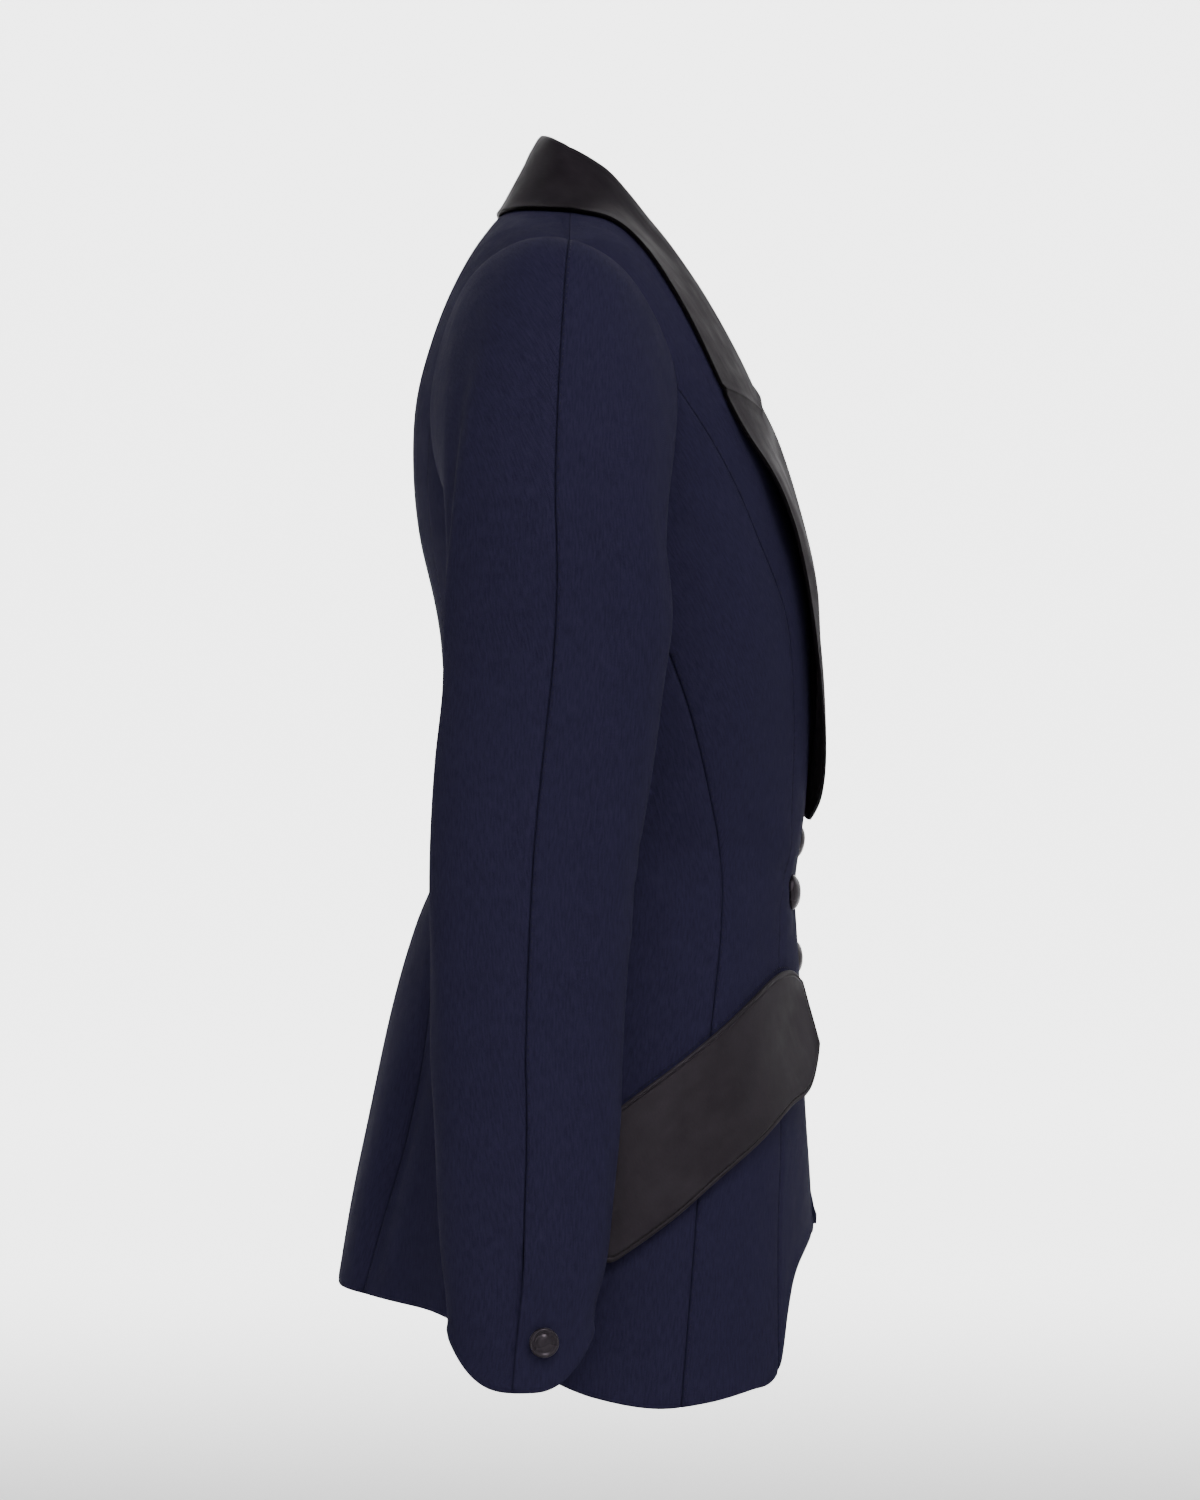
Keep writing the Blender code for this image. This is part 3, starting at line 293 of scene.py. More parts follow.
BUTTON_FLAT = 0.0110     # reach over which the cloth's tilt is measured
BUTTON_CORNER = 0.7      # share of that reach at which the cloth's height is measured
BUTTON_STEPS = 56
BUTTON_MERGE = 0.00001
BUTTON_DENT = 0.0022     # by which a button pulls the cloth in
BUTTON_DENT_REACH = 0.016
BUTTON_SINK = 0.0010     # and how far its base sits in the dent
Button = namedtuple("Button", "name x z")
FRONT_BUTTONS = (
    Button("button_top", 0.018, -0.3885),
    Button("button_middle", -0.034, -0.4195),
    Button("button_bottom", 0.018, -0.461),
)
CUFF_BUTTON_Z = -0.667
CUFF_BUTTON_TURN = 16.0  # degrees in front of the sleeve's centre seam

# Coarse steps of the solids, and how much finer the cloth is here
BODY_ROWS = 16
SHOULDER_COLUMNS = 7
BACK_NECK_COLUMNS = 3
EDGE_STEPS = 8           # up the front edge, and again up the roll line
CAP_STEPS = 6
SLEEVE_STEPS = 14
FINE = 7
LAPEL_ROWS = 110
LAPEL_COLUMNS = 64
COLLAR_STATIONS = 97     # on each half; odd, so that none lies on the shoulder seam
FLAP_COLUMNS = 120
FLAP_ROWS = 26
FLAP_CORNER = 0.010      # round of the flap's lower corner at its back end
FLAP_FRONT_CORNER = 0.024  # and at its front end
CORNER_FULLNESS = 0.9    # below 1, a round corner still ends a little blunt
EASE_PASSES = 60         # smoothing where the collar meets the lapel
EASE_REACH = 12.0        # rows of cloth that it reaches
SMALL_TURN = 0.008       # steps that the surface's normal is measured over, in radians
SMALL_RISE = 0.02        # and in height indices

# Creases: soft lines from one place to another; angles run round the body from centre front by
# the wearer's right (0 to 180) to the left (180 to 360). Depth is out of the cloth, in metres.
Crease = namedtuple("Crease", "angle_from z_from angle_to z_to bow width depth")
CREASE_TAPER = 1.2       # how a crease dies away at its two ends
CREASE_RADIUS = 0.15     # turns an angle round the body into metres
BODY_CREASES = (
    Crease(8, -0.421, 40, -0.404, 0.004, 0.0050, -0.0012),
    Crease(9, -0.424, 44, -0.428, -0.003, 0.0055, -0.0010),
    Crease(7, -0.426, 30, -0.452, -0.003, 0.0045, -0.0009),
    Crease(14, -0.405, 46, -0.372, 0.006, 0.0080, 0.0009),
    Crease(44, -0.392, 86, -0.404, 0.004, 0.0090, -0.0012),
    Crease(66, -0.372, 116, -0.388, -0.005, 0.0110, -0.0014),
    Crease(52, -0.236, 74, -0.190, 0.008, 0.0090, -0.0016),
    Crease(112, -0.228, 128, -0.330, -0.010, 0.0120, -0.0022),
    Crease(124, -0.180, 139, -0.300, -0.010, 0.0130, 0.0016),
    Crease(136, -0.470, 146, -0.690, 0.005, 0.0130, -0.0085),
    Crease(118, -0.520, 112, -0.700, -0.004, 0.0160, 0.0020),
    Crease(120, -0.362, 168, -0.352, 0.006, 0.0090, -0.0018),
    Crease(140, -0.388, 190, -0.381, -0.004, 0.0080, -0.0013),
    Crease(158, -0.330, 176, -0.250, 0.006, 0.0140, -0.0010),
    Crease(350, -0.432, 322, -0.446, 0.004, 0.0050, -0.0011),
    Crease(349, -0.414, 318, -0.396, -0.004, 0.0055, -0.0010),
    Crease(314, -0.388, 270, -0.400, 0.005, 0.0095, -0.0013),
    Crease(296, -0.370, 246, -0.392, -0.004, 0.0105, -0.0014),
    Crease(306, -0.232, 288, -0.192, -0.008, 0.0090, -0.0015),
    Crease(246, -0.224, 233, -0.322, 0.010, 0.0125, -0.0020),
    Crease(234, -0.186, 222, -0.296, 0.010, 0.0120, 0.0015),
    Crease(223, -0.478, 214, -0.684, -0.005, 0.0130, -0.0078),
    Crease(243, -0.530, 250, -0.698, 0.004, 0.0160, 0.0021),
    Crease(236, -0.366, 196, -0.358, -0.006, 0.0090, -0.0016),
    Crease(204, -0.336, 186, -0.262, -0.006, 0.0140, -0.0010),
)
SLEEVE_RADIUS = 0.052    # the same for a sleeve, from its centre seam round by the front
SLEEVE_CREASES_RIGHT = (
    Crease(-28, -0.050, -84, -0.300, -0.004, 0.0085, 0.0022),
    Crease(-42, -0.070, -96, -0.290, -0.004, 0.0090, -0.0040),
    Crease(58, -0.120, 74, -0.250, 0.004, 0.0090, -0.0014),
    Crease(104, -0.380, 52, -0.402, 0.003, 0.0070, -0.0012),
    Crease(112, -0.408, 62, -0.424, -0.003, 0.0065, -0.0010),
    Crease(98, -0.440, 64, -0.432, 0.003, 0.0080, 0.0008),
    Crease(150, -0.300, 128, -0.420, 0.004, 0.0100, -0.0018),
    Crease(-96, -0.420, -64, -0.560, 0.004, 0.0110, -0.0012),
    Crease(-150, -0.290, -128, -0.400, -0.004, 0.0100, -0.0018),
    Crease(66, -0.520, 82, -0.640, 0.003, 0.0100, -0.0010),
)
SLEEVE_CREASES_LEFT = (
    Crease(-27, -0.060, -82, -0.320, -0.005, 0.0090, 0.0020),
    Crease(-40, -0.080, -94, -0.300, -0.004, 0.0095, -0.0036),
    Crease(56, -0.116, 76, -0.262, 0.005, 0.0095, -0.0016),
    Crease(108, -0.374, 50, -0.392, 0.004, 0.0070, -0.0013),
    Crease(106, -0.402, 60, -0.415, -0.003, 0.0065, -0.0009),
    Crease(148, -0.310, 130, -0.430, 0.004, 0.0100, -0.0018),
    Crease(-98, -0.440, -60, -0.548, 0.005, 0.0110, -0.0014),
    Crease(-148, -0.300, -126, -0.410, -0.004, 0.0100, -0.0017),
    Crease(62, -0.536, 84, -0.630, 0.003, 0.0100, -0.0011),
)
# Satin: from and to are (share along the piece, share across it from the roll to the edge)
Ripple = namedtuple("Ripple", "along_from across_from along_to across_to width depth")
LAPEL_RIPPLES = (
    Ripple(0.00, 0.45, 0.42, 0.30, 0.060, 0.0012),
    Ripple(0.10, 0.95, 0.50, 0.62, 0.060, -0.0010),
    Ripple(0.45, 0.50, 0.92, 0.60, 0.090, 0.0011),
    Ripple(0.55, 0.80, 0.96, 0.85, 0.080, -0.0008),
)
COLLAR_RIPPLES = (
    Ripple(0.70, 0.55, 0.98, 0.75, 0.070, 0.0008),
    Ripple(0.30, 0.60, 0.55, 0.80, 0.090, -0.0007),
    Ripple(0.05, 0.70, 0.28, 0.55, 0.090, 0.0006),
)
FLAP_RIPPLES = (
    Ripple(0.06, 0.20, 0.26, 0.70, 0.080, -0.0010),
    Ripple(0.34, 0.15, 0.46, 0.75, 0.070, 0.0008),
    Ripple(0.56, 0.30, 0.72, 0.85, 0.080, -0.0007),
)
RIPPLE_ASPECT = 0.45     # width across a satin piece to its length
RIPPLE_FADE = (0.2, 0.9)  # shares across the piece between which ripples have their full depth

# Seams and edges
SEAM_DIP = 0.0007        # how far a sewn edge sinks in wool
SATIN_DIP = 0.0014       # and in satin
SEAM_DIP_WIDTH = 0.0022
HEM_ROLL = 0.0008        # fullness of a turned-up edge
HEM_ROLL_WIDTH = 0.0070
HEM_ROLL_SWELL = (-0.1, 0.35)  # shares of that width over which it swells
HEM_ROLL_FALL = (0.75, 1.25)  # and over which it falls back
EDGE_ROUND = 0.00075     # round of every edge
EDGE_ROUND_STEPS = 2
EDGE_ANGLE = 50.0        # degrees of bend that make an edge

# Stitches; beside is the distance of a row from the edge that it follows
Stitch = namedtuple("Stitch", "pitch length radius beside")
SEAM_STITCH = Stitch(0.0046, 0.0021, 0.00018, 0.0016)
SATIN_STITCH = Stitch(0.0034, 0.0022, 0.00020, 0.0030)
# This half width also sets the width of the painted shade along the flap's stitching.
SATIN_STITCH_GROOVE = 0.0008  # half width of the groove that the flap's stitches pull
OVER_FLAP_STITCH = Stitch(0.0030, 0.0020, 0.00018, 0.0)
OVER_FLAP = 0.0022       # height of that row above the flap's top edge
TACK_LENGTH = 0.0085     # bar tacks at the flap's two ends
TACK_WIDTH = 0.0012
TACK_THREADS = 4
TACK_STEPS = 6           # points along a tack's thread, less one
STITCH_SIDES = 6
STITCH_FLAT = 1.3        # width of a stitch to its height
STITCH_TAPER = 0.25      # share of its length that dives into the cloth at each end
STITCH_RISE = 0.5        # share of its radius by which it lies proud
SLEEVE_STITCH_END = 0.85  # share of the sleeve's centre seam that is topstitched

# Grain of the finishes: how many of each go into a metre
NOISE_RANGE = (0.3, 0.7)  # where most of a noise's values lie
WOOL_FUZZ = 1500.0
WOOL_SLUB = (900.0, 140.0, 0.0)
WOOL_MOTTLE = 55.0
WOOL_CLOUD = 9.0
SATIN_THREADS = (2400.0, 160.0, 400.0)
SATIN_CLOUD = 38.0
SATIN_PULL = (60.0, 14.0, 30.0)
THREAD_TWIST = 3000.0
THREAD_RELIEF = 0.00008

# Studio: a round floor that bends up into a wall, with a glow on the wall behind the coat
FLOOR_FLAT = 6.0
FLOOR_BEND = 2.5
FLOOR_BEND_STEPS = 8
FLOOR_STEPS = 96
WALL_TOP = 9.0
PAPER_LIGHT = 0.89
PAPER_DARK = 0.86
PAPER_GRAIN = 1.5
GLOW = 3.2
GLOW_RUN_X = (0.6, 3.4)  # where it begins behind the coat, and where it is full
GLOW_RUN_Y = (1.3, 2.9)  # where it begins to die away to each side, and where it ends
GLOW_LEAST = 0.02
SURROUND = 0.25          # strength of the pale surround
FRAME_WIDTH = 36.0       # of the camera, in millimetres
Lamp = namedtuple("Lamp", "name place size power")
LAMPS = (
    Lamp("key", (-2.2, -0.9, 2.5), 1.6, 82.0),
    Lamp("fill", (-3.2, 0.2, 0.5), 1.8, 12.0),
    Lamp("far front", (2.2, -2.6, 1.0), 1.8, 8.0),
    Lamp("far back", (2.2, 2.6, 1.2), 1.8, 5.0),
)
LAMP_TARGET = (0.0, 0.0, -0.35)

# The flat cut of what shows of each piece: width, length and area, in metres and square metres
Cut = namedtuple("Cut", "width length area")

# Each side of a piece's grid of points: the line at its edge, and the line next to it
SIDE_LINES = {
    "first column": (np.s_[:, 0], np.s_[:, 1]),
    "last column": (np.s_[:, -1], np.s_[:, -2]),
    "first row": (np.s_[0], np.s_[1]),
    "last row": (np.s_[-1], np.s_[-2]),
}

# Each finished piece's outer points, their normals, and whether it is mirrored; stitches read it
PIECE_GRIDS = {}


def smooth_step(low, high, value):
    """0 below low, 1 above high, and a soft ramp between."""
    share = np.clip((value - low) / (high - low), 0.0, 1.0)
    return share * share * (3.0 - 2.0 * share)


def unit(vectors):
    """Vectors of length 1."""
    return vectors / np.maximum(np.linalg.norm(vectors, axis=-1, keepdims=True), 1e-12)


def curve(xs, ys, x):
    """A smooth curve through the points (xs, ys), with xs rising, read at every x."""
    xs = np.asarray(xs, float)
    ys = np.asarray(ys, float)
    x = np.asarray(x, float)
    places = np.arange(len(xs))
    low = np.maximum(places - 1, 0)
    high = np.minimum(places + 1, len(xs) - 1)
    extra = (1,) * (ys.ndim - 1)
    slopes = (ys[high] - ys[low]) / (xs[high] - xs[low]).reshape((-1,) + extra)
    k = np.clip(np.searchsorted(xs, x, side="left") - 1, 0, len(xs) - 2)
    width = xs[k + 1] - xs[k]
    t = np.clip((x - xs[k]) / width, 0.0, 1.0).reshape(x.shape + extra)
    width = width.reshape(x.shape + extra)
    start = (2 * t ** 3 - 3 * t ** 2 + 1) * ys[k] + (t ** 3 - 2 * t ** 2 + t) * width * slopes[k]
    end = (3 * t ** 2 - 2 * t ** 3) * ys[k + 1] + (t ** 3 - t ** 2) * width * slopes[k + 1]
    return start + end


def column_value(table, key, value, x):
    """A smooth curve through two columns of a table, sorted by the first of them."""
    rows = sorted(table, key=lambda row: getattr(row, key))
    return curve([getattr(row, key) for row in rows], [getattr(row, value) for row in rows], x)


def column_values(table, key, values, x):
    """Smooth curves through several columns of a table, sorted by its key column."""
    return [column_value(table, key, value, x) for value in values]


def section(v):
    """The body's sections at height indices v, one column for each field."""
    return Section(*np.moveaxis(curve(range(TOP + 1), SECTIONS, v), -1, 0))


def flute_depth(angle, z):
    """How far the skirt's flutes move its surface out."""
    degrees = np.degrees(angle) % 360.0
    degrees = np.minimum(degrees, 360.0 - degrees)
    total = np.zeros(np.shape(degrees))
    for flute in FLUTES:
        bump = np.exp(-((degrees - flute.angle) / flute.spread) ** 2)
        fall = np.maximum(0.0, (flute.start - z) / (flute.start - SECTIONS[0].z))
        total = total + flute.depth * bump * fall ** FLUTE_POWER
    return total


def body_point(angle, v):
    """Points of the body's outer surface; the angle runs from centre front round the right."""
    angle = np.asarray(angle, float)
    row = section(np.asarray(v, float))
    s = np.sin(angle)
    c = np.cos(angle)
    square = np.where(c > 0, row.front_square, row.back_square)
    reach = (np.abs(s) ** square + np.abs(c) ** square) ** (-1.0 / square)
    depth = np.where(c > 0, row.front, row.back) - row.middle
    x = -row.half_width * s * reach
    y = row.middle + depth * np.abs(c) * reach
    z = row.z - row.drop * (np.abs(x) / row.half_width) ** DROP_POWER
    out = flute_depth(angle, z)
    away = unit(np.stack((x, y - row.middle), axis=-1))
    return np.stack((x + away[..., 0] * out, y + away[..., 1] * out, z), axis=-1)


def body_normal(angle, v):
    """The surface's directions outwards. On the shoulder seam it leans to neither side."""
    angle = np.asarray(angle, float)
    v = np.asarray(v, float)
    up = body_point(angle, np.minimum(v + SMALL_RISE, TOP)) - body_point(
        angle, np.maximum(v - SMALL_RISE, 0.0))
    around = body_point(angle + SMALL_TURN, v) - body_point(angle - SMALL_TURN, v)
    normal = unit(np.cross(up, around))
    row = SECTIONS[TOP]
    x = body_point(angle, v)[..., 0]
    share = np.abs(x) / row.half_width
    slope = row.drop * DROP_POWER * share ** (DROP_POWER - 1) / row.half_width
    ridge = unit(np.stack((np.copysign(slope, x), np.zeros(x.shape), np.ones(x.shape)), axis=-1))
    return np.where((v > TOP - 1e-6)[..., None], ridge, normal)


def height_index(angle_of, z):
    """The height indices at which the surface, at angle_of(v), reaches the heights z."""
    z = np.asarray(z, float)
    low = np.zeros(z.shape)
    high = np.full(z.shape, float(TOP))
    for _ in range(HALVINGS):
        v = 0.5 * (low + high)
        below = body_point(angle_of(v), v)[..., 2] < z
        low = np.where(below, v, low)
        high = np.where(below, high, v)
    return 0.5 * (low + high)


def angle_for_x(x, v, front=True):
    """The angles at which sections v pass the distance x from the centre plane."""
    row = section(np.asarray(v, float))
    square = row.front_square if front else row.back_square
    share = np.minimum(1.0, np.abs(x) / row.half_width) ** square
    inner = np.minimum(share, FULL_WIDTH)
    turn = np.arctan((inner / (1 - inner)) ** (1 / square))
    turn = np.where(share > FULL_WIDTH, math.pi / 2, turn)
    turn = np.copysign(turn, x)
    return turn if front else math.pi - turn


def angle_for_y(y, v):
    """The angles at which sections v pass the depth y, on the right side."""
    row = section(np.asarray(v, float))
    front = y < row.middle
    square = np.where(front, row.front_square, row.back_square)
    depth = np.abs(np.where(front, row.front, row.back) - row.middle)
    share = np.minimum(1.0, np.abs(y - row.middle) / np.maximum(depth, 1e-6)) ** square
    share = np.maximum(share, 1e-9)
    turn = np.arctan((1 / share - 1) ** (1 / square))
    return np.where(front, turn, math.pi - turn)


def placed(angle, v):
    """Angles and height indices as one array of places."""
    return np.stack(np.broadcast_arrays(angle, v), axis=-1)


def at_front(x, z):
    """Places on the front at x from the centre, towards the wearer's right, and height z."""
    v = height_index(lambda w: angle_for_x(x, w), z)
    return placed(angle_for_x(x, v), v)


def at_back(x, z):
    """Places on the back at x from the centre and height z."""
    v = height_index(lambda w: angle_for_x(x, w, front=False), z)
    return placed(angle_for_x(x, v, front=False), v)


def at_side(y, z):
    """Places on the right side at depth y and height z."""
    v = height_index(lambda w: angle_for_y(y, w), z)
    return placed(angle_for_y(y, v), v)


def in_plan(x, y):
    """Places on the shoulders and chest that lie below the plan points (x, y)."""
    x = np.asarray(x, float)
    low = np.zeros(x.shape)
    high = np.full(x.shape, float(TOP))
    for _ in range(HALVINGS):
        v = 0.5 * (low + high)
        row = section(v)
        front = y < row.middle
        square = np.where(front, row.front_square, row.back_square)
        depth = np.maximum(1e-6, np.abs(np.where(front, row.front, row.back) - row.middle))
        size = (np.abs(x) / row.half_width) ** square + (np.abs(y - row.middle) / depth) ** square
        low = np.where(size < 1.0, v, low)
        high = np.where(size < 1.0, high, v)
    front_turn = angle_for_x(x, v)
    back_turn = angle_for_x(x, v, front=False)
    return placed(np.where(y < section(v).middle, front_turn, back_turn), v)


def hem_place(angle_of, shape=()):
    """Where lines angle_of(v) meet the hem."""
    v = np.ones(shape)
    for _ in range(HEM_ROUNDS):
        angle = angle_of(v)
        z = column_value(HEM, "angle", "z", np.degrees(angle))
        v = height_index(lambda w, a=angle: a, z)
    return placed(angle_of(v), v)


def armhole_place(index):
    """Places on the armhole at table indices, which may lie between two rows."""
    index = np.asarray(index, float)
    count = len(ARMHOLE)
    # Two rows more at each end close the loop smoothly
    spots = list(range(-2, count + 3))
    rows = [ARMHOLE[i % count] for i in spots]
    places = at_side(curve(spots, [row.y for row in rows], index),
                     curve(spots, [row.z for row in rows], index))
    shoulder = np.array((math.pi / 2, float(TOP)))
    return np.where((np.abs(index % count) < 1e-9)[..., None], shoulder, places)


def armhole_run(start, end):
    """Places along the armhole from one table row to another."""
    steps = int(abs(end - start)) * ARMHOLE_STEPS * FINE
    return armhole_place(np.linspace(start, end, steps + 1))


def seam_line(places_at_rows, notch):
    """Places from the hem up a seam to the armhole notch."""
    places = np.vstack((places_at_rows, notch))
    places = places[np.argsort(places[:, 1])]

    def angle_of(v):
        return curve(places[:, 1], places[:, 0], v)

    start = hem_place(angle_of)[1]
    v = np.linspace(start, notch[1], BODY_ROWS * FINE + 1)
    line = placed(angle_of(v), v)
    line[-1] = notch
    return line


def roll_place(along):
    """Places on the roll line, from the neck end of the shoulder seam (0) to the gorge (1)."""
    along = np.asarray(along, float)
    seam_y = SECTIONS[TOP].middle
    y = seam_y + (GORGE_Y - seam_y) * along
    x = NECK_HALF - (NECK_HALF - GORGE_X) * along ** ROLL_POWER
    neck = placed(angle_for_x(NECK_HALF, TOP), float(TOP))
    return np.where((along == 0)[..., None], neck, in_plan(x, y))


def lower_roll_x(z):
    """The roll line below the gorge, straight to the break point; right of the centre is +."""
    top = body_point(*roll_place(1.0))[2]
    return GORGE_X + (-OVERLAP - GORGE_X) * (z - top) / (BREAK_Z - top)


def back_neck_place(along):
    """Places on the back neckline, from the shoulder seam (0) to centre back (1)."""
    turn = np.pi / 2 * np.asarray(along, float)
    neck = placed(angle_for_x(NECK_HALF, TOP, front=False), float(TOP))
    y = SECTIONS[TOP].middle + NECK_DROP_BACK * np.sin(turn)
    return np.where((turn == 0)[..., None], neck, in_plan(NECK_HALF * np.cos(turn), y))


def shoulder_run(front):
    """Places along the shoulder seam from the armhole to the neck."""
    x = np.linspace(SECTIONS[TOP].half_width, NECK_HALF, SHOULDER_COLUMNS * FINE + 1)
    return placed(angle_for_x(x, np.full(x.shape, float(TOP)), front), float(TOP))


def between(bottom, top, left, right):
    """Fill the patch between four lines of places that meet at its corners."""
    t = np.linspace(0, 1, len(left))[:, None, None]
    s = np.linspace(0, 1, len(bottom))[None, :, None]
    ends = (1 - t) * bottom[None] + t * top[None]
    sides = (1 - s) * left[:, None] + s * right[:, None]
    corners = ((1 - s) * (1 - t) * bottom[0] + s * (1 - t) * bottom[-1]
               + (1 - s) * t * top[0] + s * t * top[-1])
    return ends + sides - corners


def hem_run(start, end, columns):
    """Places along the hem between two corners."""
    angle = np.linspace(start[0], end[0], columns + 1)
    run = hem_place(lambda v: angle, angle.shape)
    run[0] = start
    run[-1] = end
    return run


def right_lift(point):
    """How far the right front stands out to pass over the left front and its lapel."""
    near = smooth_step(*LAP_RUN_X, point[..., 0])
    below = 1.0 - smooth_step(*LAP_RUN_Z, point[..., 2])
    over_lapel = smooth_step(*LAPEL_LAP_RUN_Z, point[..., 2])
    return near * below * (LAP_LIFT + LAPEL_LAP_LIFT * over_lapel)


def left_lift(point):
    """How far the left front's lower corner swings forward; x is mirrored."""
    near = smooth_step(*LEFT_FLARE_RUN_X, point[..., 0])
    return LEFT_FLARE * near * smooth_step(*LEFT_FLARE_RUN_Z, point[..., 2])


def no_lift(point):
    """No lift at all, for the back and the collar."""
    return np.zeros(point.shape[:-1])


def crease_depth(creases, radius, angle, z):
    """How far a table of creases moves the cloth out, at angles in degrees and heights z."""
    across = np.radians(angle) * radius
    total = np.zeros(np.shape(z))
    for crease in creases:
        start = np.array((math.radians(crease.angle_from) * radius, crease.z_from))
        along = np.array((math.radians(crease.angle_to) * radius, crease.z_to)) - start
        length = np.hypot(*along)
        way = along / length
        t = np.clip(((across - start[0]) * way[0] + (z - start[1]) * way[1]) / length, 0, 1)
        off = (across - start[0]) * -way[1] + (z - start[1]) * way[0]
        off = off - crease.bow * 4 * t * (1 - t)
        along_it = np.sin(np.pi * t) ** CREASE_TAPER
        total = total + crease.depth * np.exp(-(off / crease.width) ** 2) * along_it
    return total


def body_crease(angle, z, mirrored):
    """The body's creases at angles in radians; a mirrored piece reads the left side's."""
    degrees = np.degrees(angle)
    return crease_depth(BODY_CREASES, CREASE_RADIUS, 360 - degrees if mirrored else degrees, z)


def button_dent(places, points, mirrored):
    """How far the closure's buttons pull the front in."""
    x = -points[..., 0] if mirrored else points[..., 0]
    total = np.zeros(x.shape)
    for button in FRONT_BUTTONS:
        far = (x - button.x) ** 2 + (points[..., 2] - button.z) ** 2
        total = total - BUTTON_DENT * np.exp(-far / BUTTON_DENT_REACH ** 2)
    return total * (np.cos(places[..., 0]) > 0)


def surface(places, lift, mirrored):
    """Points and normals of the body's surface at places, moved out by lift and the creases."""
    points = body_point(places[..., 0], places[..., 1])
    normals = body_normal(places[..., 0], places[..., 1])
    out = lift(points) + body_crease(places[..., 0], points[..., 2], mirrored)
    out = out + button_dent(places, points, mirrored)
    return points + normals * out[..., None], normals


def run_length(points, axis):
    """Length along a grid's rows (axis 1) or columns (axis 0) from their start."""
    steps = np.linalg.norm(np.diff(points, axis=axis), axis=-1)
    return np.insert(np.cumsum(steps, axis=axis), 0, 0.0, axis=axis)


def read_along(reach, values, places):
    """A line's values at distances from its start; reach holds its points' own distances."""
    return np.stack([np.interp(places, reach, values[:, k]) for k in range(3)], axis=-1)


def edge_distances(points):
    """Distance of each grid point from the grid's four edges."""
    across = run_length(points, 1)
    up = run_length(points, 0)
    return {
        "first column": across,
        "last column": across[:, -1:] - across,
        "first row": up,
        "last row": up[-1:] - up,
    }


def grid_normals(points):
    """Directions at right angles to a grid, from its rows and its columns."""
    along = np.gradient(points, axis=0)
    across = np.gradient(points, axis=1)
    return unit(np.cross(along, across))


def seam_inset(points, normals, sides):
    """Move a grid's sewn edges in by half a seam gap, within the cloth's surface."""
    moved = points.copy()
    for side in sides:
        edge, within = SIDE_LINES[side]
        direction = unit(np.cross(np.gradient(points[edge], axis=0), normals[edge]))
        inwards = np.sum(direction * (points[within] - points[edge]), axis=-1, keepdims=True)
        moved[edge] += direction * np.where(inwards < 0, -SEAM_INSET, SEAM_INSET)
    return moved


def shape_edges(points, normals, sewn, turned, dip=SEAM_DIP):
    """Sink the sewn edges a little and fill out the turned-up ones."""
    far = edge_distances(points)
    out = np.zeros(points.shape[:-1])
    for side in sewn:
        out -= dip * np.exp(-(far[side] / SEAM_DIP_WIDTH) ** 2)
    for side in turned:
        swell = far[side] / HEM_ROLL_WIDTH
        fall = 1 - smooth_step(*HEM_ROLL_FALL, swell)
        out += HEM_ROLL * fall * smooth_step(*HEM_ROLL_SWELL, swell)
    return points + normals * out[..., None]


def grid_faces(rows, columns, start, reverse):
    """Quads over a grid of points that begins at index start."""
    index = start + np.arange(rows * columns).reshape(rows, columns)
    quads = np.stack((index[:-1, :-1], index[:-1, 1:], index[1:, 1:], index[1:, :-1]), axis=-1)
    quads = quads.reshape(-1, 4)
    return quads[:, ::-1] if reverse else quads


def rim_faces(rows, columns, reverse):
    """Quads that close the edge between the outer grid and the inner one."""
    index = np.arange(rows * columns).reshape(rows, columns)
    loop = np.concatenate((index[0, :-1], index[:-1, -1], index[-1, :0:-1], index[:0:-1, 0]))
    after = np.roll(loop, -1)
    inner = rows * columns
    quads = np.stack((after, loop, loop + inner, after + inner), axis=-1)
    return quads[:, ::-1] if reverse else quads


def add_object(name, corners, edges, faces, material):
    """A mesh object in the scene, with one material."""
    mesh = bpy.data.meshes.new(name)
    mesh.from_pydata(corners, edges, faces)
    mesh.materials.append(material)
    made = bpy.data.objects.new(name, mesh)
    bpy.context.scene.collection.objects.link(made)
    return made


def add_turned(name, profile, steps, material):
    """A profile of (radius, height) turned about the Z axis, and its modifier."""
    corners = [(radius, 0.0, height) for radius, height in profile]
    edges = [(place, place + 1) for place in range(len(corners) - 1)]
    made = add_object(name, corners, edges, [], material)
    turn = made.modifiers.new("turn", "SCREW")
    turn.steps = steps
    turn.render_steps = steps
    turn.use_smooth_shade = True
    return made, turn


def cloth(name, points, normals, material, mirrored):
    """A thin closed shell of cloth, from its outer points, with rounded edges."""
    rows, columns = points.shape[:2]
    inner = points - normals * CLOTH
    corners = np.concatenate((points.reshape(-1, 3), inner.reshape(-1, 3)))
    if mirrored:
        corners = corners * (-1.0, 1.0, 1.0)
    quads = np.concatenate((
        grid_faces(rows, columns, 0, mirrored),
        grid_faces(rows, columns, rows * columns, not mirrored),
        rim_faces(rows, columns, mirrored),
    ))
    piece = add_object(name, corners.tolist(), [], quads.tolist(), material)
    # The third value, the distance from the nearest edge, also places the finishes' painted shade
    # at seams and edges.
    cut = np.stack((run_length(points, 1), run_length(points, 0),
                    np.minimum.reduce(list(edge_distances(points).values()))), axis=-1)
    cut = np.concatenate((cut.reshape(-1, 3), cut.reshape(-1, 3)))
    attribute = piece.data.attributes.new("cut", "FLOAT_VECTOR", "POINT")
    attribute.data.foreach_set("vector", cut.astype(np.float32).ravel())
    piece.data.shade_smooth()
    bevel = piece.modifiers.new("round edges", "BEVEL")
    bevel.width = EDGE_ROUND
    bevel.segments = EDGE_ROUND_STEPS
    bevel.limit_method = "ANGLE"
    bevel.angle_limit = math.radians(EDGE_ANGLE)
    bevel.use_clamp_overlap = True
    return piece


